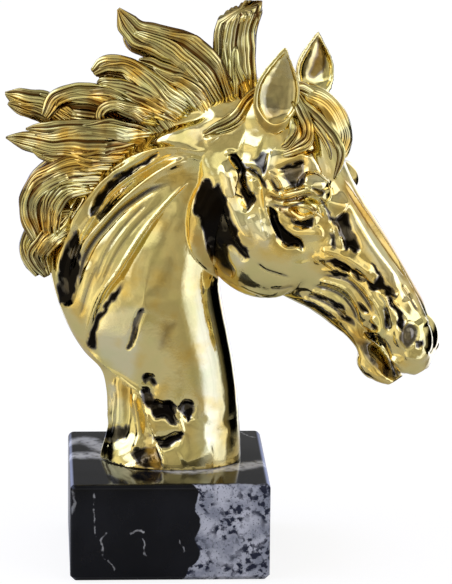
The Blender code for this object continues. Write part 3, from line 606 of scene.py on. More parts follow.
HEAD_HOLLOWS = [
    (1.2, 4.0, 0.97, [(203, 180), (210, 180), (214, 187), (219, 183), (222, 190), (226, 200), (230, 212), (234, 225),
                      (239, 239), (245, 248), (249, 256), (244, 258), (239, 251), (232, 244), (228, 246), (230, 260),
                      (234, 270), (231, 276), (224, 271), (218, 264), (211, 256), (206, 244), (203, 232), (200, 218),
                      (195, 212), (194, 203), (198, 192)]),
    (2.3, 4.0, 0.96, [(230, 156), (237, 154), (242, 162), (247, 169), (247, 180), (249, 189), (252, 195), (256, 196),
                      (254, 203), (249, 210), (245, 204), (242, 193), (239, 184), (240, 174), (237, 167), (232, 160)]),
    (0.8, 2.0, 0.90, [(247, 168), (255, 171), (262, 176), (266, 186), (262, 186), (258, 178), (251, 173)]),
    (0.5, 3.5, 0.74, [(252, 161), (260, 155), (267, 153), (268, 162), (266, 173), (259, 169), (254, 165)]),
    (2.2, 3.5, 0.96, [(269, 207), (273, 209), (278, 218), (284, 228), (292, 235), (301, 240), (303, 248), (296, 245),
                      (288, 246), (280, 241), (275, 232), (271, 221)]),
    (1.8, 5.0, 0.42, [(281, 168), (290, 164), (304, 160), (305, 170), (304, 180), (300, 188), (290, 188), (286, 180)]),
    (0.3, 2.0, 0.85, [(288, 181), (295, 180), (303, 178), (302, 186), (293, 188)]),
    (0.3, 1.6, 0.85, [(280, 169), (290, 165), (303, 161), (303, 165), (291, 169), (282, 172)]),
    (0.3, 1.6, 0.85, [(271, 177), (274, 184), (279, 190), (282, 188), (280, 192), (275, 188), (271, 182)]),
    (1.0, 2.4, 0.95, [(291, 218), (298, 221), (305, 220), (312, 218), (313, 224), (304, 227), (296, 226)]),
    (0.4, 1.4, 0.80, [(281, 209), (288, 214), (296, 217), (296, 219), (287, 217), (281, 212)]),
    (0.3, 1.6, 0.90, [(312, 207), (316, 206), (315, 211), (312, 212)]),
    (0.5, 2.0, 0.85, [(312, 187), (320, 189), (324, 194), (320, 196), (314, 192)]),
    (1.4, 4.0, 0.80, [(328, 213), (335, 219), (341, 215), (347, 213), (350, 220), (352, 230), (356, 238), (359, 247),
                      (356, 252), (350, 249), (346, 252), (343, 246), (342, 239), (338, 236), (337, 228), (331, 222)]),
    (0.6, 2.0, 0.75, [(330, 233), (333, 234), (334, 247), (331, 244)]),
    (0.7, 2.0, 0.85, [(326, 262), (332, 260), (339, 261), (346, 264), (351, 269), (348, 271), (341, 268), (333, 265)]),
    (0.7, 1.8, 0.92, [(327, 271), (336, 271), (346, 274), (349, 277), (343, 278), (334, 275)]),
    (0.8, 1.8, 0.92, [(350, 269), (358, 273), (364, 281), (358, 279), (352, 275)]),
    (1.1, 2.4, 0.95, [(362, 276), (368, 281), (374, 284), (380, 274), (384, 282), (392, 288), (397, 292), (394, 297),
                      (388, 295), (384, 290), (376, 290), (369, 287)]),
    (0.6, 1.8, 0.85, [(370, 262), (376, 267), (380, 275), (376, 273)]),
    (0.9, 1.8, 0.95, [(388, 294), (394, 304), (400, 312), (405, 319), (404, 325), (401, 331), (398, 323), (396, 314),
                      (390, 304)]),
    (0.8, 1.8, 0.85, [(358, 303), (362, 305), (368, 312), (364, 313), (360, 309)]),
    (0.6, 1.6, 0.85, [(385, 312), (388, 314), (390, 326), (387, 330), (386, 320)]),
    (1.2, 2.0, 0.95, [(365, 333), (373, 334), (381, 337), (385, 348), (379, 345), (371, 339)]),
    (0.8, 1.8, 0.90, [(370, 324), (377, 326), (378, 330), (371, 328)]),
    (0.3, 1.6, 0.90, [(326, 297), (336, 302), (345, 309), (340, 309), (330, 303)]),
    (0.3, 1.6, 0.92, [(297, 299), (310, 301), (324, 309), (336, 317), (332, 318), (318, 311), (306, 304)]),
    (0.3, 1.6, 0.85, [(312, 293), (326, 298), (326, 301), (314, 297)]),
    (0.3, 1.6, 0.85, [(338, 312), (352, 320), (354, 326), (344, 320)]),
    (1.3, 2.6, 0.50, [(402, 330), (406, 325), (412, 324), (417, 329), (417, 338), (412, 346), (405, 347), (401, 340)]),
    (0.8, 1.6, 0.90, [(416, 342), (421, 343), (421, 348), (417, 348)]),
    (0.4, 2.4, 0.42, [(357, 342), (364, 341), (372, 346), (380, 353), (388, 361), (396, 368), (398, 376), (395, 380),
                      (387, 375), (378, 368), (369, 360), (361, 351)]),
]

# Strength and outline of painted highlights, where the gold is painted paler
NECK_LIGHTS = [
    (0.9, [(186, 155), (176, 160), (160, 168), (140, 180), (120, 196), (104, 214), (92, 230), (84, 244), (76, 258),
           (70, 256), (78, 240), (88, 222), (100, 206), (114, 192), (132, 178), (150, 167), (168, 158)]),
    (0.9, [(158, 132), (170, 126), (176, 132), (166, 139)]),
    (0.9, [(190, 130), (200, 127), (208, 134), (198, 140)]),
    (0.8, [(98, 320), (118, 308), (140, 310), (140, 330), (137, 352), (133, 378), (118, 370), (100, 354), (96, 338)]),
    (0.6, [(197, 292), (216, 292), (218, 350), (219, 430), (210, 450), (198, 448), (197, 400), (198, 350)]),
    (0.8, [(108, 382), (118, 388), (122, 404), (122, 422), (112, 426), (108, 404)]),
]
HEAD_LIGHTS = [
    (0.8, [(336, 188), (346, 196), (368, 226), (394, 264), (416, 298), (408, 302), (392, 288), (374, 262),
           (358, 240), (346, 214)]),
    (0.8, [(224, 166), (230, 176), (236, 196), (246, 216), (262, 214), (272, 232), (268, 250), (254, 244),
           (240, 232), (232, 212), (226, 190)]),
    (0.6, [(306, 150), (322, 160), (332, 184), (318, 186), (306, 176)]),
    (0.8, [(268, 148), (276, 150), (275, 175), (269, 175)]),
    (0.9, [(233, 246), (240, 248), (245, 260), (241, 266), (234, 258)]),
]
# Strength and outline of painted warm reflections, where the gold is painted toward amber
NECK_WARM = [
    (0.55, [(180, 112), (184, 122), (166, 134), (146, 146), (124, 162), (106, 176), (92, 192), (82, 208), (74, 206),
            (82, 188), (98, 168), (118, 150), (140, 134), (160, 120)]),
    (0.40, [(122, 382), (132, 392), (142, 412), (150, 434), (158, 456), (163, 472), (152, 468), (146, 448), (138, 424),
            (130, 404), (120, 390)]),
]
HEAD_WARM = [
    (0.65, [(190, 214), (196, 217), (202, 238), (212, 256), (230, 271), (250, 282), (244, 288), (224, 282), (205, 267),
            (194, 249), (188, 230)]),
    (0.45, [(266, 191), (280, 194), (296, 190), (312, 188), (322, 192), (312, 197), (296, 198), (280, 202),
            (268, 198)]),
    (0.45, [(274, 205), (286, 208), (300, 206), (316, 203), (318, 210), (306, 219), (292, 218), (280, 213)]),
    (0.60, [(352, 330), (362, 330), (368, 340), (360, 344), (352, 340)]),
]
FACING_WARM = [
    (0.75, [(345, 176), (354, 188), (374, 216), (398, 252), (422, 288), (433, 306), (427, 309), (413, 291), (388, 256),
            (364, 220), (344, 190)]),
    (0.45, [(253, 100), (258, 100), (261, 112), (270, 124), (284, 122), (280, 128), (270, 136), (260, 130),
            (254, 116)]),
    (0.35, [(318, 38), (323, 46), (326, 58), (324, 68), (319, 75), (312, 78), (309, 74), (314, 64), (317, 52)]),
]
# Painted shade and outline in the ears' bowls, as the camera sees them
FACING_SHADES = [
    (0.80, [(318, 38), (323, 46), (326, 58), (324, 68), (319, 75), (312, 78), (309, 74), (314, 64), (317, 52)]),
    (0.16, [(284, 58), (290, 58), (294, 76), (296, 95), (293, 106), (284, 115), (274, 119), (266, 116), (262, 106),
            (262, 92), (268, 78), (276, 66)]),
    (0.26, [(262, 98), (270, 96), (280, 104), (280, 114), (272, 118), (265, 114)]),
]
# Painted dark reflection and outline on the lower lip's side
LIP_SHADES = [
    (0.42, [(357, 341), (366, 341), (376, 347), (388, 358), (397, 366), (400, 374), (396, 378), (386, 376),
            (369, 361)]),
]
# The jowl's edge, where the head stands in front of the neck, and where the drawing is the head's alone
JOWL_EDGE = [(238, 126), (220, 136), (206, 150), (200, 163), (199, 174), (198, 184), (193, 196), (189, 208), (187, 222),
             (188, 238), (192, 252), (200, 264), (212, 274), (228, 282), (246, 290), (262, 296)]
HEAD_ALONE = 262
# The joint between jowl and jaw, and the calm lower part of the jowl
JAW_JOINT = [(296, 246), (310, 246), (314, 262), (316, 290), (298, 294), (294, 270)]
CALM_JOWL = [(240, 244), (270, 246), (312, 252), (310, 284), (276, 296), (240, 286)]
# How many widths away a stroke still counts, and the width in pixels from which its ends fade slowly
STROKE_REACH, LEDGE_REACH = 3.5, 5
BROAD_STROKE = 12


def nearest_on(spots, line):
    """Distance to a drawn line, how far along it, and which side of it, for each spot."""
    nearest = np.full(len(spots), 1e9)
    share, side = np.zeros(len(spots)), np.zeros(len(spots))
    for k, (start, step) in enumerate(zip(line, np.diff(line, axis=0))):
        offset = spots - start
        long = max(float(step @ step), 1e-9)
        along = np.clip(offset @ step / long, 0, 1)
        distance = np.linalg.norm(offset - along[:, None] * step, axis=1)
        closer = distance < nearest
        nearest[closer] = distance[closer]
        share[closer] = (k + along[closer]) / (len(line) - 1)
        side[closer] = (step[0] * offset[closer, 1] - step[1] * offset[closer, 0]) / math.sqrt(long)
    return nearest, share, side


def close_to(spots, line, margin):
    """The numbers of the spots within a margin of a line's box."""
    return np.flatnonzero(np.all((spots > line.min(0) - margin) & (spots < line.max(0) + margin), axis=1))


def stroke_push(spots, way, depth, width, path):
    """How far each spot is pushed out by one stroke."""
    line = smooth_path(path, 4 * len(path))
    near = close_to(spots, line, width * (LEDGE_REACH if way == "ledge" else STROKE_REACH))
    push = np.zeros(len(spots))
    if len(near) == 0:
        return push
    distance, share, side = nearest_on(spots[near], line)
    fade = ease(np.clip(np.minimum(share, 1 - share) * (3 if width > BROAD_STROKE else 7), 0, 1))
    if way == "ledge":
        push[near] = -depth * np.clip(-side / 1.4, 0, 1) * np.exp(-distance / width) * fade
        return push
    power = 2.0 if way in ("ridge", "groove") else 1.2
    sign = 1.0 if way in ("ridge", "edge") else -1.0
    push[near] = sign * depth * np.exp(-(distance / width) ** power) * (0.1 + 0.9 * fade)
    return push


def within(spots, outline, soft):
    """One inside a drawn outline and nought outside, with a soft edge."""
    line = smooth_path([*outline, outline[0]], 3 * len(outline) + 1)
    near = close_to(spots, line, soft)
    share = np.zeros(len(spots))
    if len(near) == 0:
        return share
    x, y = spots[near].T
    inside = np.zeros(len(near), bool)
    for (x0, y0), (x1, y1) in zip(line, line[1:]):
        if y0 != y1:
            inside ^= ((y0 > y) != (y1 > y)) & (x < (x1 - x0) * (y - y0) / (y1 - y0) + x0)
    distance = nearest_on(spots[near], line)[0] * np.where(inside, 1, -1)
    share[near] = ease(np.clip(0.5 + 0.5 * distance / soft, 0, 1))
    return share


def value_noise(points, size, seed):
    """Smooth lumps of about the given size, from -1 to 1, the same every time."""
    lattice = np.random.default_rng(seed).uniform(-1, 1, (24, 24, 24))
    place = points / size
    cell = np.floor(place).astype(int)
    f = place - cell
    f = f * f * f * (f * (f * 6 - 15) + 10)
    total = np.zeros(len(points))
    for dx in (0, 1):
        for dy in (0, 1):
            for dz in (0, 1):
                weight = (np.where(dx, f[:, 0], 1 - f[:, 0]) * np.where(dy, f[:, 1], 1 - f[:, 1])
                          * np.where(dz, f[:, 2], 1 - f[:, 2]))
                total += weight * lattice[(cell[:, 0] + dx) % 24, (cell[:, 1] + dy) % 24, (cell[:, 2] + dz) % 24]
    return total


def mirrored_head(points, normals):
    """Points and normals brought over to the shown side by the head's own axes."""
    local, turned = to_head(points), normals @ HEAD_AXES.T
    flip = np.where(local[:, 2] < 0, -1.0, 1.0)
    local[:, 2] *= flip
    turned[:, 2] *= flip
    return from_head(local), turned @ HEAD_AXES


def mirrored_neck(points, normals):
    """Points and normals brought over to the shown side by the neck's middle plane."""
    flip = np.ones_like(points)
    flip[points[:, 1] > 0, 1] = -1.0
    return points * flip, normals * flip


def facing_camera(normals):
    """One where a surface is turned to the camera, fading to nought where it is seen edge on."""
    return np.clip((normals @ BACK - 0.05) * 3, 0, 1)


def drawn_views(points, normals):
    """Where points show in the picture for the head's and the neck's drawing, and how much each counts."""
    s, t, w = to_head(points).T
    head_view, head_turned = mirrored_head(points, normals)
    neck_view, neck_turned = mirrored_neck(points, normals)
    head_spots, neck_spots = picture_spot(head_view), picture_spot(neck_view)
    distance, _, side = nearest_on(head_spots, smooth_path(JOWL_EDGE, 60))
    past_edge = np.where(side < 0, distance, -distance)
    on_head = np.where(head_spots[:, 0] > HEAD_ALONE, 1.0, np.clip(past_edge / 2.5 + 0.5, 0, 1))
    on_head *= np.clip((s + 8) / 4, 0, 1) * np.clip((t + 76) / 4, 0, 1)
    on_neck = (1 - on_head) * facing_camera(neck_turned)
    beside_ear = np.clip(to_head(head_view)[:, 1] + 15, 0, 1) * (head_spots[:, 1] < 128) * (head_spots[:, 0] > 238)
    head_drawn = on_head * facing_camera(head_turned) * (1 - beside_ear)
    # The part of the far side that the camera still sees stays calm
    seen_far = np.clip(0.6 - 4 * (normals @ BACK), 0, 1)
    head_drawn *= np.where(w < 0, seen_far * np.clip((-t - 3) / 4, 0, 1), 1.0)
    return head_spots, neck_spots, past_edge, on_head, head_drawn, on_neck


# %% Cut the strokes into both sides
JOWL_HEIGHT = 8.0
JOWL_REACH = 40
points, normals = grid_points(casting), point_normals(casting)
s, t, w = to_head(points).T
head_spots, neck_spots, past_edge, on_head, head_drawn, on_neck = drawn_views(points, normals)
# The joint between jowl and jaw is smoothed over first
joint = within(head_spots, JAW_JOINT, 6.0) * (on_head > 0)
relax(casting, 40, pulls=[0.8 * joint[:, None]])
points, normals = grid_points(casting), point_normals(casting)
push = np.zeros(len(points))
for drawn, spots, strokes, hollows in ((head_drawn, head_spots, HEAD_STROKES, HEAD_HOLLOWS),
                                       (on_neck, neck_spots, NECK_STROKES, NECK_HOLLOWS)):
    for stroke in strokes:
        push += stroke_push(spots, *stroke) * drawn
    for depth, soft, _, outline in hollows:
        push -= depth * within(spots, outline, soft) * drawn
# The jowl stands proud of the neck with a rounded edge, most of all on the shown side
row = head_spots[:, 1]
edge_share = np.clip((row - 150) / 25, 0, 1) * ease(np.clip((302 - row) / 95, 0, 1))
edge_share *= np.clip((normals @ BACK) * 3, 0, 1) * np.clip(w / 3, 0, 1) * np.clip((80 - s) / 20, 0, 1)
rise = np.sqrt(np.clip(1 - np.clip(1 - past_edge / JOWL_REACH, 0, 1) ** 2, 0, 1))
fall = ease(np.clip(1 - (past_edge - JOWL_REACH) / 60, 0, 1))
push += edge_share * JOWL_HEIGHT * np.where(past_edge > 0, (rise - 0.5) * fall, -0.5 * np.exp(past_edge / 45))
# Soft lumps keep the mirror finish from looking machined
lumps = 0.30 * value_noise(points, 6.5, 3) + 0.16 * value_noise(points, 3.4, 4)
lumpy = on_head * np.clip(1.2 + t / 60, 0.15, 1) * np.clip((-t - 3) / 6, 0.1, 1)
upper_neck = (1 - on_head) * np.clip((points[:, 2] - 92) / 20, 0, 1)
low_dents = (1 - on_head) * np.exp(-((points[:, 2] - 18) / 12) ** 2) * 0.7
calm = 1 - 0.75 * within(head_spots, CALM_JOWL, 8.0)
push += lumps * np.clip(lumpy + upper_neck * 0.8 + low_dents, 0, 1) * calm
set_points(casting, kept_in(points + normals * push[:, None]))
relax(casting, 1)
print("strokes cut, deepest", round(float(-push.min()), 2), "mm, highest", round(float(push.max()), 2), "mm")

# %% [markdown]
# ## A level foot, and fewer faces where nothing happens
# The casting stands on the block, so its neck is cut off level and closed with one flat face. That is
# bisect with fill, as by hand. Before it, Decimate takes faces from the calm parts of the skin.

# %% Thin the skin and cut the foot
decimate = casting.modifiers.new("fewer faces", "DECIMATE")
decimate.ratio = min(1.0, SKIN_TRIANGLES / (2 * len(casting.data.polygons)))
bpy.ops.object.modifier_apply(modifier=decimate.name)
bpy.ops.object.mode_set(mode="EDIT")
bpy.ops.mesh.select_all(action="SELECT")
bpy.ops.mesh.bisect(plane_co=(0, 0, FOOT_HEIGHT), plane_no=(0, 0, -1), use_fill=True, clear_outer=True)
bpy.ops.object.mode_set(mode="OBJECT")
casting.data.shade_smooth()
print("cast head:", triangles(casting), "triangles")

# %% [markdown]
# ## Painted shade, highlights and warm reflections
# The deep folds look almost black in the photograph, a few places are nearly white and a few run to amber.
# These are painted into the gold: painted shade and dark reflection in the hollows and creases, painted
# highlights and painted warm reflections. How dark and how warm each point is goes into two attributes,
# from outlines drawn in the same way, and the gold's colour follows them later.

# %% Shade
PLAIN_SHADE = 0.2


def drawn_in(values, outlines, spots, soft, drawn):
    """The values, raised to a drawn place's strength inside its outline."""
    for strength, outline in outlines:
        values = np.maximum(values, strength * within(spots, outline, soft) * drawn)
    return values


points, normals = grid_points(casting), point_normals(casting)
head_spots, neck_spots, past_edge, on_head, head_drawn, on_neck = drawn_views(points, normals)
head_drawn, on_neck = np.clip(head_drawn * 3, 0, 1), np.clip(on_neck * 3, 0, 1)
wander = np.column_stack([value_noise(points, 2.4, 11), value_noise(points, 2.4, 12)]) * 2.0
shades = np.zeros(len(points))
# Painted shade and dark reflection in the drawn hollows, made uneven inside
for drawn, spots, hollows in ((head_drawn, head_spots, HEAD_HOLLOWS), (on_neck, neck_spots, NECK_HOLLOWS)):
    for _, soft, shade, outline in hollows:
        soft = max(1.3, soft * 0.5 if shade < 0.4 else 1.3)
        shades = drawn_in(shades, [(shade, outline)], spots + wander, soft, drawn)
shades *= 1 - 0.34 * np.clip(value_noise(points, 4.2, 13) * 1.4 + value_noise(points, 1.5, 14) * 0.6, 0, 1)
# Painted shade along the creases and the narrow grooves
for drawn, spots, strokes in ((head_drawn, head_spots, HEAD_STROKES), (on_neck, neck_spots, NECK_STROKES)):
    for way, depth, width, line in strokes:
        if way == "crease" or (way == "groove" and width < 3.5):
            dark = stroke_push(spots, "ridge", min(0.62, 0.65 * depth), width * 0.75, line)
            shades = np.maximum(shades, dark * drawn)
real_spots, seen = picture_spot(points), np.clip(3 * (normals @ BACK), 0, 1)
# Painted shade in the ears' bowls, and a painted dark reflection on the lower lip
shades = drawn_in(shades, FACING_SHADES, real_spots + wander * 0.5, 2.0, seen)
s, t, w = to_head(points).T
shades = drawn_in(shades, LIP_SHADES, real_spots, 2.0, (t < -21) & (w > -2) & (s > 85))
warmth = lights = np.zeros(len(points))
# Painted warm reflections
warmth = drawn_in(warmth, HEAD_WARM, head_spots + wander, 2.5, head_drawn)
warmth = drawn_in(warmth, NECK_WARM, neck_spots + wander, 2.5, on_neck)
warmth = drawn_in(warmth, FACING_WARM, real_spots + wander, 2.5, seen)
# Painted highlights
lights = drawn_in(lights, HEAD_LIGHTS, head_spots + wander, 4.0, head_drawn)
lights = drawn_in(lights, NECK_LIGHTS, neck_spots + wander, 4.0, on_neck)
keep(casting, "warmth", warmth)
# One attribute holds painted highlight below the plain value and painted shade above it
keep(casting, "shade", PLAIN_SHADE * (1 - lights) + (1 - PLAIN_SHADE) * shades)
print("shaded points:", int((shades > 0.5).sum()))

# %% [markdown]
# ## Locks of hair
# The mane is a crowd of flat, pointed locks that sweep back from the crest, and each is combed into
# strands with dark valleys between them. A lock is a loft again, but its ring is a lens whose faces carry
# the strands: rounded tops that meet in a sharp valley. The columns of points follow the strands, so the
# valleys stay crisp. Each point keeps how deep in a valley it is, for the gilding to read later.

# %% Lock maker
STRAND = 1.6
STRAND_DEPTH = 0.95
FOLD_DEPTH = 1.1
HAIR_SWAY = np.array([0.8, 1.2, 0.8])


def strand_columns(width, rng):
    """Places across a lock's face, the strand relief there and how deep each is in a valley."""
    count = max(3, int(round(2 * width / STRAND)))
    share = rng.uniform(0.45, 1.6, count)
    edges = np.concatenate([[0], np.cumsum(share) / share.sum()]) * 2 - 1
    lobes = rng.integers(2, 4)
    offset = rng.uniform(0, 1)
    places, relief = [], []
    for low, high, height in zip(edges, edges[1:], rng.uniform(0.35, 1.0, count)):
        for step in (0.0, 0.22, 0.5, 0.78):
            places.append(low + (high - low) * step)
            relief.append((1 - (2 * step - 1) ** 2) * height)
    places, relief = np.array(places), np.array(relief)
    furrow = np.abs(np.sin((places * 0.5 * lobes + offset) * math.pi)) ** 0.5
    return places, relief, furrow


def lock_rings(path, width, thickness, end, outward, seed, slant=0.0, cut=0.0, flow=0.25, depth=1.0, least_shade=0.0):
    """Rings of one combed lock, and how deep in a valley each point lies."""
    rng = np.random.default_rng(seed)
    rough = smooth_path(path, 60)
    length = np.linalg.norm(np.diff(rough, axis=0), axis=1).sum()
    count = int(np.clip(length / 1.5, 18, 48))
    line = smooth_path(path, count)
    ahead, beside, above = directions(line, outward)
    u = np.linspace(0, 1, count)
    swell = np.interp(u, [0, 0.35, 0.7, 0.9, 1], [0.75, 1, 0.8 + 0.2 * end, 0.5 + 0.5 * end, end])
    thick = np.interp(u, [0, 0.4, 0.8, 1], [1, 1, 0.8, max(end, 0.3)])
    places, relief, furrow = strand_columns(width, rng)
    drift = flow * rng.uniform(-1, 1) * np.sin(u * math.pi * rng.uniform(0.8, 1.6))
    rings, deep = [], []
    for i in range(count):
        x = places + drift[i] * (1 - places ** 2)
        dome = np.sqrt(np.clip(1 - x ** 2, 0, 1)) ** 0.8
        fade = np.clip(dome * 1.6, 0.25, 1) * (0.4 + 0.6 * min(1.0, swell[i]))
        comb = (1 - relief) * STRAND_DEPTH * depth * fade
        fold = (1 - furrow) * FOLD_DEPTH * depth * fade
        face = dome * thickness * thick[i] - comb - fold
        front = np.column_stack([x * width * swell[i], np.maximum(face, 0.15 * dome)])
        across, out = np.vstack([front, -front]).T
        late = (across / width * slant - out / thickness * cut) * u[i] ** 4
        rings.append(line[i] + np.outer(across, beside[i]) + np.outer(out, above[i]) + np.outer(late, ahead[i]))
        dip = np.clip((1 - relief) * 0.75 + (1 - furrow) * 0.6, 0, 1)
        deep.append(np.maximum(np.concatenate([dip, dip]) * min(1.0, depth), least_shade))
    return np.array(rings), np.array(deep)


def lock_piece(name, locks):
    """One piece of many combed locks, a little wavy, with its valleys kept as an attribute."""
    made, deeps = [], []
    for rings, deep in locks:
        made.append(close_rings(rings))
        deeps.append(np.concatenate([deep.ravel(), [0.4, 0.4]]))
    points, faces = joined(made)
    sway = np.column_stack([value_noise(points, 8.0, seed) for seed in (31, 32, 33)]) * HAIR_SWAY
    sway += np.column_stack([value_noise(points, 3.6, seed) for seed in (34, 35, 36)]) * HAIR_SWAY * 0.2
    deep = np.concatenate(deeps) + 0.12 * value_noise(points, 5.5, 37)
    piece = add_piece(name, kept_in(points + sway), faces)
    keep(piece, "valley", np.clip(deep, 0, 1))
    piece.data.shade_smooth()
    print(name, len(locks), "locks,", triangles(piece), "triangles")
    return piece


# %% The mane's locks
# Root to tip: x, y, z at each point, then width, thickness and how blunt the end is
MANE = {
    "upright lock": ([(27, -5, 143), (26.3, -4, 157), (25.0, -2, 170), (27.6, 0, 184)], 8.8, 3.4, 0.9),
    "wave lock": ([(24, -8, 142), (15, -8, 159.5), (6, -7, 169), (-6, -5, 173), (-14.5, -3, 176.5),
                   (-20.5, -1, 184.5)], 8.0, 3.4, 0.1),
    "wave under": ([(18, -9, 143), (8, -9, 154), (-1, -7, 160), (-12, -4, 164.5)], 5.6, 3.4, 0.2),
    "rounded curl": ([(12, -11, 142), (0, -11, 150), (-9.6, -9, 157), (-17.4, -6, 162),
                      (-24.5, -5, 163), (-30, -4, 159.5)], 5.6, 3.4, 0.35),
    "curl under": ([(6, -12, 141), (-6, -12, 148.5), (-16.7, -9, 153), (-24.6, -7, 156),
                    (-28.5, -5, 155.5)], 4.2, 3.0, 0.3),
    "arched lock": ([(-6, -8, 139), (-20, -8, 148), (-30, -6, 151.5), (-38, -5, 151),
                     (-45, -5, 148.5), (-49.5, -6, 142)], 4.8, 3.6, 0.4),
    "leaf lock": ([(-24, -4, 135), (-39, -3, 141.5), (-53, -1, 147), (-66, 1, 150.4)], 6.4, 3.2, 0.1),
    "small curl": ([(-2, -13, 139), (-12, -14, 146), (-21.5, -13, 148), (-27.4, -12, 145),
                    (-25.4, -11, 139.5)], 3.4, 2.8, 0.3),
    "upper spear": ([(-8, -12, 135), (-24, -12.5, 138), (-41, -10, 138.5), (-57, -6, 137)], 5.0, 3.2, 0.1),
    "spear lock": ([(-12, -13, 131), (-28.6, -13, 132), (-48, -9, 131.5), (-64.6, -3, 133)], 7.2, 3.4, 0.06),
    "lower spear": ([(-18, -13, 126), (-33, -13, 126.5), (-45.6, -10, 127), (-55.5, -7, 129)], 4.6, 3.0, 0.1),
    "great curl": ([(-24, -14, 121), (-39.7, -14, 122), (-50.5, -12, 115.5), (-54.6, -10, 106),
                    (-52.6, -9, 96.5), (-46, -9, 90)], 6.4, 3.6, 0.35),
    "inner curl": ([(-28, -14, 116), (-40, -14, 115), (-46.6, -13, 108.5), (-47.6, -12, 101),
                    (-45.4, -11, 92)], 5.0, 3.4, 0.3),
    "tuft": ([(-40, -13, 100), (-48.6, -11, 93.2), (-52.4, -8, 85.5), (-48.6, -7, 77)], 5.0, 3.4, 0.3),
    "tuft behind": ([(-45, -6, 103), (-53, -5, 96), (-55.4, -4, 86.5), (-51.5, -4, 77.5)], 5.2, 3.4, 0.4),
}
MANE_SLANT = {"upright lock": (6.0, 4.5)}
WISPS = 3
# Mass of hair under the locks: x, y, z at each point, then width and thickness
MANE_CORE = [
    ([(26, -3, 140), (24, -2, 156), (24, -1, 168)], 8.0, 6.0),
    ([(16, -3, 140), (8, -2, 153), (-6, 0, 162)], 9.0, 8.0),
    ([(2, -2, 135), (-10, -1, 147), (-22, 0, 154)], 9.0, 8.5),
    ([(-12, -1, 130), (-26, 0, 141), (-44, 0, 144)], 10.0, 8.5),
    ([(-16, 0, 124), (-34, 0, 131), (-52, 0, 133)], 9.0, 8.5),
    ([(-26, 0, 112), (-40, 0, 117), (-49, 0, 108)], 8.0, 9.0),
    ([(-36, 0, 102), (-46, 0, 100), (-50, 0, 88)], 7.0, 8.5),
]
# Each lock is laid again in these layers: y scale, y shift, reach from its root and drop
MANE_LAYERS = [(1.0, 0.0, 1.0, 0.0), (0.1, 1.0, 0.93, 1.5), (-1.0, 0.0, 0.95, 2.6)]
# How far from the middle a lock's root is laid, as a share of where its path starts
ROOT_DEPTH = 0.35


def layered(path, layer):
    """A mane lock's path in one of the mane's layers."""
    scale_y, shift_y, reach, drop = layer
    laid = np.asarray(path, float)
    root = laid[0] + (laid[0] - laid[1]) * 0.7
    root[1] = laid[0][1] * ROOT_DEPTH
    laid = laid[0] + (laid - laid[0]) * np.array([reach, 1, reach])
    laid[0, 1] *= ROOT_DEPTH
    laid = np.vstack([root, laid])
    laid[:, 1] = laid[:, 1] * scale_y + shift_y
    laid[:, 2] -= drop
    return laid


def wisps(path, width, thickness, outward, seed):
    """Thin locks that lie on a big one and wander a little across it."""
    rng = np.random.default_rng(seed)
    line = smooth_path(path, 24)
    _, beside, above = directions(line, outward)
    made = []
    for number in range(WISPS):
        first, last = int(rng.integers(3, 9)), int(rng.integers(17, 23))
        u = np.linspace(0, 1, last - first)
        start = (number + 0.5) / WISPS * 1.5 - 0.75
        lateral = start + rng.uniform(-0.5, 0.5) * u + 0.22 * np.sin(u * math.pi * 2 + rng.uniform(0, 6))
        lateral = np.clip(lateral, -0.9, 0.9)
        lift = np.sqrt(1 - lateral ** 2) * thickness * (0.92 - 0.35 * u)
        part = (line[first:last] + beside[first:last] * (lateral * width * (1 - 0.35 * u))[:, None]
                + above[first:last] * lift[:, None])
        made.append(lock_rings(part[::3], rng.uniform(1.5, 2.5), rng.uniform(1.0, 1.5), 0.15, outward, seed + number))
    return made


core = [lock_rings(path, width, thickness, 0.5, np.array([0, -1.0, 0]), 50 + k)
        for k, (path, width, thickness) in enumerate(MANE_CORE)]
mane_pieces = []
for number, (layer, name) in enumerate(zip(MANE_LAYERS, ("mane_shown_side", "mane_middle", "mane_far_side"))):
    outward = np.array([0, -1.0 if layer[0] > 0 else 1.0, 0])
    locks = list(core) if name == "mane_middle" else []
    for k, (title, (path, width, thickness, end)) in enumerate(MANE.items()):
        slant, cut = MANE_SLANT.get(title, (0.0, 0.0))
        laid = layered(path, layer)
        locks.append(lock_rings(laid, width, thickness, end, outward, 10 * number + k, slant * -outward[1], cut))
        if name != "mane_middle":
            locks += wisps(laid, width, thickness, outward, 200 + 10 * k)
    mane_pieces.append(lock_piece(name, locks))

# %% The forelock
# s, t, w at each point of a lock in the head's axes, then width, thickness and depth of its strands
FORELOCK = {
    "hooked lock": ([(-3.4, -5.2, 3), (3.9, -1.6, 8.0), (8.0, -0.6, 10.6), (13.2, -0.6, 12.4), (18.0, -3.6, 14.4),
                     (19.1, -8.7, 15.7), (17.5, -15.2, 15.9)], 3.0, 2.4, 1.0),
    "inner hook": ([(5.4, -6.6, 8.5), (8.8, -5.8, 11.4), (12.8, -6.9, 13.4), (15.1, -10.6, 14.8),
                    (14.9, -14.3, 15.2)], 2.2, 1.8, 1.0),
    "pointed lock": ([(-0.8, -3.2, 4), (8.3, 0.7, 5), (16.4, 4.2, 6), (23.9, 5.2, 7.5), (29.7, 3.4, 8.5),
                      (35.6, -2.0, 10)], 2.6, 2.0, 1.0),
    "thin lock": ([(6.0, -3.4, 7), (11.2, -0.6, 8.5), (17.3, 1.1, 10), (23.9, 1.6, 10.8),
                   (28.5, 0.4, 11)], 1.8, 1.6, 1.0),
    "domed lock": ([(-0.3, -2.0, -2), (5.0, 1.2, -4.5), (12.5, 2.4, -6), (20.0, 1.2, -7), (25.3, -2.0, -7.5),
                    (29.4, -5.8, -7)], 6.4, 3.4, 0.35),
    "lock between ears": ([(-3.6, -3.6, 5), (-2.1, -0.4, 1), (1.5, 1.3, -3), (6.9, 1.6, -7)], 3.0, 2.0, 1.0),
}
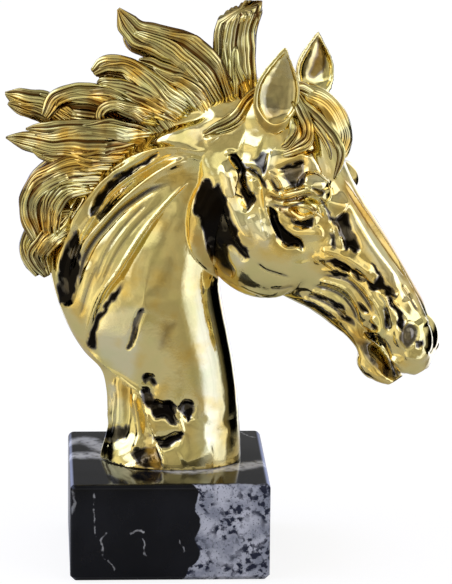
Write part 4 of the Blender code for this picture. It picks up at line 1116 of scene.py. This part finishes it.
# x, y, z on the figure's grid of two locks that lie behind the shown ear
BEHIND_EAR = [
    ([(36.1, -12.0, 153.8), (31.3, -14.5, 150.2), (25.8, -15.5, 145.1), (19.5, -16.0, 140.7), (13.2, -15.5, 137.1)],
     3.0, 2.2),
    ([(36.9, -14.0, 149.2), (31.3, -15.5, 145.5), (26.5, -16.5, 141.7), (21.8, -16.5, 138.9), (16.3, -15.5, 136.8)],
     1.5, 1.5),
]
FORELOCK_FACING = OUT_OF_FACE + 0.5 * SIDEWAYS
FORELOCK_END = 0.25
# The domed lock on the far side is painted in shade all over
forelock_locks = [lock_rings(from_head(path), width, thickness, FORELOCK_END, FORELOCK_FACING, 90 + k, depth=depth,
                             least_shade=0.35 if depth < 1 else 0.0)
                  for k, (path, width, thickness, depth) in enumerate(FORELOCK.values())]
for k, (path, width, thickness) in enumerate(BEHIND_EAR):
    for side in (1, -1):
        forelock_locks.append(lock_rings(np.array(path) * [1, side, 1], width, thickness, FORELOCK_END,
                                         np.array([0, -1.0 * side, 0]), 110 + k))
forelock = lock_piece("forelock", forelock_locks)

# %% [markdown]
# ## Eyes
# The eyes are gilt like the rest. Each is a ball of its own, set in its socket between the lids, so that
# a crisp line runs round it.

# %% Eyes
EYE = (40.6, -16.4, 14.5)
EYE_RADIUS = 4.9
eyes = []
for side, name in ((1, "eye_shown_side"), (-1, "eye_far_side")):
    place = from_head(np.array(EYE) * np.array([1, 1, side])) * MM + FIGURE_BASE
    bpy.ops.mesh.primitive_uv_sphere_add(segments=48, ring_count=32, radius=EYE_RADIUS * MM, location=place)
    ball = bpy.context.object
    ball.name = name
    bpy.ops.object.transform_apply(location=True, rotation=True, scale=True)
    ball.data.shade_smooth()
    keep(ball, "shade", [PLAIN_SHADE] * len(ball.data.vertices))
    eyes.append(ball)
print("eyes:", [e.name for e in eyes])

# %% [markdown]
# ## The gilding
# Polished gold plate is a mirror with a warm tint. The colour is a metal's, so it tints what it reflects.
# In the hair the gold turns brown in the valleys between strands. Both golds are mottled with faint tints.
# The nodes are made by a few small functions, which the marble, the floor and the studio use as well.

# %% Gold
GOLD = (0.95, 0.78, 0.31, 1)
# The pale gold is a painted highlight, the next two are painted shade, half and deep, and the amber is a painted warm
# reflection
PALE_GOLD = (1.0, 0.90, 0.53, 1)
HALF_SHADE_GOLD = (0.26, 0.22, 0.15, 1)
DEEP_SHADE_GOLD = (0.010, 0.008, 0.006, 1)
AMBER = (0.58, 0.35, 0.06, 1)
STRAND_GOLD = (1.0, 0.83, 0.31, 1)
DEEP_GOLD = (0.12, 0.055, 0.012, 1)
# The tints that lie over each gold in soft patches
SKIN_TINTS = [(0.36, (1.0, 0.88, 0.62, 1)), (0.50, (1, 1, 1, 1)), (0.66, (0.93, 0.98, 0.94, 1))]
HAIR_TINTS = [(0.36, (1.0, 0.78, 0.42, 1)), (0.50, (1, 1, 1, 1)), (0.66, (0.84, 0.93, 1.0, 1))]


def nodes_of(material):
    """A material's node tree and its Principled shader."""
    material.use_nodes = True
    return material.node_tree, material.node_tree.nodes["Principled BSDF"]


def feed(node, inputs):
    """Puts numbers into a node's sockets, or links other nodes' outputs to them."""
    for socket, value in inputs.items():
        if isinstance(value, bpy.types.NodeSocket):
            tree.links.new(value, node.inputs[socket])
        else:
            node.inputs[socket].default_value = value


def add_node(kind, inputs=None, **settings):
    """A new node with its settings and inputs, in the tree that is being built."""
    node = tree.nodes.new("ShaderNode" + kind)
    for setting, value in settings.items():
        setattr(node, setting, value)
    feed(node, inputs or {})
    return node


def attribute(name):
    """The value that each point of a mesh keeps under a name."""
    return add_node("Attribute", attribute_name=name).outputs["Fac"]


def blend(share, first, second, **settings):
    """A colour between two others."""
    return add_node("Mix", {"Factor": share, 6: first, 7: second}, data_type="RGBA", **settings).outputs[2]


def colour_ramp(value, stops):
    """A colour that runs through the stops, each given as its position and colour."""
    node = add_node("ValToRGB", {"Fac": value})
    elements = node.color_ramp.elements
    for element, (position, colour) in zip((elements[0], elements[1]), (stops[0], stops[-1])):
        element.position, element.color = position, colour
    for position, colour in stops[1:-1]:
        elements.new(position).color = colour
    return node.outputs["Color"]


def noise(scale, detail, where=None):
    """Noise from nought to one, on the object's own coordinates where no others are given."""
    if where is None:
        where = add_node("TexCoord").outputs["Object"]
    return add_node("TexNoise", {"Vector": where, "Scale": scale, "Detail": detail})


def mottled(colour, scale, tints):
    """A colour with soft patches of other tints laid over it."""
    return blend(1.0, colour, colour_ramp(noise(scale, 3).outputs[0], tints), blend_type="MULTIPLY")


gold = bpy.data.materials.new("polished_gilding")
tree, shader = nodes_of(gold)
# The shade attribute runs from painted highlight through plain gold to painted shade; warmth mixes in a painted warm
# reflection
tone = colour_ramp(attribute("shade"), [(0, PALE_GOLD), (PLAIN_SHADE, GOLD), (0.48, HALF_SHADE_GOLD), (0.80, DEEP_SHADE_GOLD)])
tone = blend(attribute("warmth"), tone, AMBER)
ripple = add_node("Bump", {"Height": noise(260, 2).outputs[0], "Distance": 0.00006})
feed(shader, {"Base Color": mottled(tone, 70, SKIN_TINTS), "Metallic": 1.0, "Roughness": 0.085,
              "Normal": ripple.outputs["Normal"]})

hair_gold = bpy.data.materials.new("shaded_gilding")
tree, shader = nodes_of(hair_gold)
tone = colour_ramp(attribute("valley"), [(0.25, STRAND_GOLD), (0.85, DEEP_GOLD)])
feed(shader, {"Base Color": mottled(tone, 90, HAIR_TINTS), "Metallic": 1.0, "Roughness": 0.13})

for piece in [casting, *eyes, *mane_pieces, forelock]:
    piece.data.materials.append(gold if piece in (casting, *eyes) else hair_gold)
    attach(piece, "root")
    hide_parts("horse_head")
print("gilded pieces:", 1 + len(eyes) + len(mane_pieces) + 1)

# %% [markdown]
# ## The marble block
# The block is sawn and polished marble with softly rounded edges. A cube is scaled to the block's size,
# and Bevel rounds its edges: the upright ones and the top ones wide, the foot as a small chamfer.

# %% Marble block
CORNER_BEVEL, TOP_BEVEL, FOOT_BEVEL = 0.0026, 0.0024, 0.0018
low, high = (np.array(corner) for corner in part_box("plinth"))
bpy.ops.mesh.primitive_cube_add(size=1, location=tuple((low + high) / 2), scale=tuple(high - low))
block = bpy.context.object
block.name = "marble_block"
bpy.ops.object.transform_apply(location=True, rotation=True, scale=True)


def bevel_edges(piece, chosen, width, segments):
    """Bevels the edges whose two ends pass the test, as in edit mode."""
    bpy.ops.object.mode_set(mode="EDIT")
    bpy.ops.mesh.select_mode(type="EDGE")
    bpy.ops.mesh.select_all(action="DESELECT")
    bpy.ops.object.mode_set(mode="OBJECT")
    for edge in piece.data.edges:
        a, b = (piece.data.vertices[v].co for v in edge.vertices)
        edge.select = bool(chosen(a, b))
    bpy.ops.object.mode_set(mode="EDIT")
    bpy.ops.mesh.bevel(offset=width, segments=segments, profile=0.5, affect="EDGES")
    bpy.ops.object.mode_set(mode="OBJECT")


bevel_edges(block, lambda a, b: abs(a.z - b.z) > 0.01, CORNER_BEVEL, 8)
bevel_edges(block, lambda a, b: min(a.z, b.z) > high[2] - 1e-5, TOP_BEVEL, 7)
bevel_edges(block, lambda a, b: max(a.z, b.z) < low[2] + 1e-5, FOOT_BEVEL, 1)
bpy.ops.object.shade_smooth_by_angle(angle=math.radians(30))
print("block:", len(block.data.polygons), "faces")

# %% [markdown]
# ## Marble
# The black stone has a pale, speckled patch on the right of the front, a grey vein that runs over the
# top in front of the foot, and a few thin wisps. Each vein is a chain of straight pieces: the shader
# measures the distance to the nearest one at a slightly disturbed place, so that the vein wanders.

# %% Marble
# width in mm, brightness, then x, y, z of each point in mm from the middle of the block's foot
VEINS = [
    (4.4, 1.0, [(-40, 3, 40), (-30, 3, 40), (-22, 0, 40), (-14, -4, 40), (-7, -11, 40), (-1, -17.5, 40),
                 (5, -20, 40), (16, -18.5, 40), (28, -15, 40), (40, -9, 40)]),
    (4.0, 0.95, [(-40, 22, 40), (-33, 26, 40), (-28, 18, 40), (-24, 6, 40)]),
    (0.45, 0.45, [(30, 40, 40), (34, 30, 40), (40, 24, 40)]),
    (0.35, 0.55, [(-30.4, -40, 38), (-30.0, -40, 30), (-30.6, -40, 22), (-29.8, -40, 17)]),
    (0.40, 0.55, [(-25, -40, 20), (-27.4, -40, 17), (-27.6, -40, 13), (-26, -40, 10)]),
    (0.50, 0.75, [(-16, -40, 20.8), (-13, -40, 21.2), (-10.4, -40, 20.2)]),
    (0.35, 0.60, [(-11.6, -40, 17), (-10.2, -40, 14), (-10.0, -40, 10.6)]),
    (0.35, 0.55, [(3.6, -40, 17.4), (4.6, -40, 14), (5.2, -40, 11)]),
    (0.35, 0.50, [(-24.4, -40, 8.8), (-22.8, -40, 5.6), (-22.2, -40, 2.6)]),
    (0.60, 0.40, [(-40, -39, 38), (-38.4, -40, 33), (-39.4, -40, 28)]),
    (0.9, 0.50, [(-40, 3, 40), (-40, 6, 30), (-40, -2, 18), (-40, 4, 6), (-40, 2, 0)]),
    (0.5, 0.45, [(40, -9, 40), (40, -2, 33), (40, 4, 24), (40, 18, 14), (40, 24, 0)]),
    (0.5, 0.50, [(-40, 26, 40), (-40, 32, 26), (-40, 40, 12), (-30, 40, 6), (-18, 40, 12), (0, 40, 4)]),
    (0.4, 0.45, [(30, 40, 40), (22, 40, 30), (24, 40, 18), (14, 40, 8)]),
]
BLOCK_HEIGHT = 40.0
# Where the pale patch begins on the front: x at each height, both in mm
PATCH_EDGE = [(0.0, 5.0), (5.0, 7.4), (10.0, 11.4), (18.0, 10.0), (24.5, 12.4), (30.0, 10.2), (36.5, 11.4),
              (BLOCK_HEIGHT, 9.2)]
PATCH_REACH = 20.0

marble = bpy.data.materials.new("black_marble")
tree, shader = nodes_of(marble)


def calc(operation, *values, **settings):
    """A Math node's result."""
    return add_node("Math", dict(enumerate(values)), operation=operation, **settings).outputs[0]


def vector_calc(operation, *values, result=0):
    """A Vector Math node's result: 0 is a vector and 1 a number."""
    return add_node("VectorMath", dict(enumerate(values)), operation=operation).outputs[result]


def scaled(vector, factor):
    """A vector times a number."""
    return add_node("VectorMath", {0: vector, "Scale": factor}, operation="SCALE").outputs[0]


def soft_step(value, low_edge, high_edge):
    """Goes softly from nought to one between two values."""
    inputs = {"Value": value, "From Min": low_edge, "From Max": high_edge}
    return add_node("MapRange", inputs, interpolation_type="SMOOTHSTEP").outputs["Result"]


def stone_noise(scale, detail, low_edge, high_edge):
    """Noise on the stone's millimetres, from nought to one between two of its levels."""
    return soft_step(noise(scale, detail, place).outputs[0], low_edge, high_edge)


place = scaled(add_node("TexCoord").outputs["Object"], 1000)
stir = vector_calc("SUBTRACT", noise(0.16, 4, place).outputs["Color"], (0.5, 0.5, 0.5))
wandering = vector_calc("MULTIPLY_ADD", stir, (5.0, 5.0, 5.0), place)
veined = 0.0
for width, brightness, line in VEINS:
    nearest = 1000.0
    for start, end in zip(line, line[1:]):
        along = np.subtract(end, start)
        offset = vector_calc("SUBTRACT", wandering, start)
        share = calc("MULTIPLY", vector_calc("DOT_PRODUCT", offset, tuple(along), result=1),
                     1 / float(along @ along), use_clamp=True)
        gap = vector_calc("DISTANCE", offset, scaled(tuple(along), share), result=1)
        nearest = calc("MINIMUM", nearest, gap)
    bright = calc("SUBTRACT", 1.0, soft_step(nearest, width * 0.3, width * 1.5))
    veined = calc("MAXIMUM", veined, calc("MULTIPLY", bright, brightness))
veined = calc("MULTIPLY", veined, stone_noise(0.35, 3, 0.20, 0.56))

x, y, z = add_node("SeparateXYZ", {0: vector_calc("MULTIPLY_ADD", stir, (4.0, 4.0, 4.0), place)}).outputs
curve = add_node("FloatCurve", {"Value": calc("DIVIDE", z, BLOCK_HEIGHT)})
curve_points = curve.mapping.curves[0].points
for number, (height, edge) in enumerate(PATCH_EDGE):
    at = (height / BLOCK_HEIGHT, edge / PATCH_REACH)
    if number in (0, len(PATCH_EDGE) - 1):
        curve_points[0 if number == 0 else -1].location = at
    else:
        curve_points.new(*at)
curve.mapping.update()
past_patch_edge = calc("SUBTRACT", x, calc("MULTIPLY", curve.outputs[0], PATCH_REACH))
# The patch lies under the top face and goes back round the corner as it goes down
behind = calc("ADD", y, calc("MULTIPLY", z, 0.85))
patch = calc("MULTIPLY", soft_step(past_patch_edge, -0.25, 0.35),
             calc("SUBTRACT", 1.0, soft_step(behind, -5.6, -4.2)))
specks = calc("MULTIPLY", stone_noise(0.42, 7, 0.47, 0.58), stone_noise(0.085, 3, 0.36, 0.52))
specks = calc("MAXIMUM", specks, calc("MULTIPLY", stone_noise(1.1, 4, 0.56, 0.66), 0.75))
pale = blend(stone_noise(0.12, 5, 0.35, 0.65), (0.55, 0.55, 0.57, 1), (0.25, 0.26, 0.29, 1))
speckled = blend(specks, pale, (0.018, 0.020, 0.035, 1))
dark = blend(stone_noise(0.05, 4, 0.35, 0.7), (0.003, 0.003, 0.0035, 1), (0.007, 0.007, 0.008, 1))
black = blend(veined, dark, (0.54, 0.53, 0.50, 1))
feed(shader, {"Base Color": blend(patch, black, speckled), "Roughness": 0.10, "Specular IOR Level": 0.19})
block.data.materials.append(marble)
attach(block, "root")
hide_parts("plinth")
print("marble with", len(VEINS), "veins")

# %% [markdown]
# ## Floor and light
# A mirror finish shows the studio, so the studio is half of the look: a strong soft light high on the
# left, a tall one on the right, a grey ceiling, dark gaps between them and a dim, calm part on the
# camera's side. All of it is drawn by direction in the world shader. The camera itself sees plain white
# behind the trophy.

# %% Floor
FLOOR_SIZE = 6.0
CARD_RADIUS = 0.30
bpy.ops.mesh.primitive_plane_add(size=FLOOR_SIZE, location=(0, 0, 0))
floor = bpy.context.object
floor.name = "floor"
paper = bpy.data.materials.new("pale_floor")
tree, shader = nodes_of(paper)
feed(shader, {"Base Color": (0.62, 0.61, 0.57, 1), "Roughness": 0.9, "Specular IOR Level": 0.0})


def seen_or_mirrored(seen, mirrored_one):
    """A shader for what the camera sees directly, joined with one for everything else."""
    ray = add_node("LightPath").outputs["Is Camera Ray"]
    return add_node("MixShader", {"Fac": ray, 1: mirrored_one, 2: seen}).outputs[0]


# Seen directly, the paper is nearly white. In a mirror finish only the paper close by shows
distance = vector_calc("LENGTH", add_node("TexCoord").outputs["Object"], result=1)
past_card = soft_step(distance, CARD_RADIUS * 0.6, CARD_RADIUS)
card = add_node("MixShader", {"Fac": past_card, 1: shader.outputs[0], 2: add_node("BsdfTransparent").outputs[0]})
glow = add_node("Emission", {"Strength": 0.84})
faint = add_node("BsdfDiffuse", {"Color": (0.24, 0.23, 0.21, 1)})
white = add_node("AddShader", {0: faint.outputs[0], 1: glow.outputs[0]})
feed(tree.nodes["Material Output"], {"Surface": seen_or_mirrored(white.outputs[0], card.outputs[0])})
floor.data.materials.append(paper)

# %% Studio light, by direction
world = bpy.data.worlds.new("studio")
bpy.context.scene.world = world
world.use_nodes = True
tree = world.node_tree
tree.nodes.clear()


def band(angle, start, end, soft):
    """One between two angles and nought outside them, with soft edges."""
    return calc("MULTIPLY", soft_step(angle, start - soft, start + soft),
                calc("SUBTRACT", 1.0, soft_step(angle, end - soft, end + soft)))


direction = add_node("TexCoord").outputs["Generated"]
east, north, height = add_node("SeparateXYZ", {0: direction}).outputs
# Degrees round from the camera's side, plus to the right, and degrees above the horizon
around = calc("MULTIPLY", calc("ARCTAN2", east, calc("MULTIPLY", north, -1.0)), 180 / math.pi)
above = calc("MULTIPLY", calc("ARCSINE", height), 180 / math.pi)
COOL, PLAIN, WARM = (0.90, 1.0, 1.5), (1.0, 1.0, 1.0), (1.0, 0.95, 0.82)
# from and to round the horizon, from and to above it, softness of the edges, brightness and tint
STUDIO = [
    (-50, 35, -34, 20, 5, 0.37, WARM),
    (-50, -18, -34, 20, 9, 0.24, PLAIN),
    (-92, -50, -34, 12, 7, 0.95, WARM),
    (-146, -92, -60, -8, 6, 0.42, WARM),
    (35, 79, -60, 40, 5, 1.15, COOL),
    (80, 94, -60, 8, 8, 0.14, WARM),
    (140, 166, -30, 24, 5, 1.3, COOL),
    (-166, -146, -30, 24, 5, 1.3, COOL),
    (166, 190, -30, 24, 5, 0.24, PLAIN),
    (-190, -166, -30, 24, 5, 0.24, PLAIN),
    (-132, -50, 14, 52, 5, 2.1, COOL),
    (-50, 40, 22, 46, 5, 0.95, PLAIN),
    (40, 156, 8, 46, 6, 0.62, PLAIN),
    (-190, -132, 26, 60, 6, 0.5, PLAIN),
    (156, 190, 26, 60, 6, 0.5, PLAIN),
    (-190, 190, 50, 92, 5, 0.40, PLAIN),
    (-190, 190, -92, -34, 6, 0.42, WARM),
]
total = (0.0, 0.0, 0.0)
for left, right, bottom, top, soft, strength, tint in STUDIO:
    window = calc("MULTIPLY", band(around, left, right, soft), band(above, bottom, top, soft))
    total = vector_calc("ADD", total, scaled([strength * channel for channel in tint], window))

# No window is evenly lit
cloudy = noise(3.2, 3, direction).outputs[0]
uneven = add_node("MapRange", {"Value": cloudy, "From Min": 0.3, "From Max": 0.7, "To Min": 0.72, "To Max": 1.28})
studio = add_node("Background", {"Color": total, "Strength": uneven.outputs["Result"]})
backdrop = add_node("Background", {"Color": (1, 1, 1, 1), "Strength": 1.05})
add_node("OutputWorld", {"Surface": seen_or_mirrored(backdrop.outputs[0], studio.outputs[0])})
bpy.context.scene.view_settings.view_transform = "Standard"
print("studio of", len(STUDIO), "lit windows")
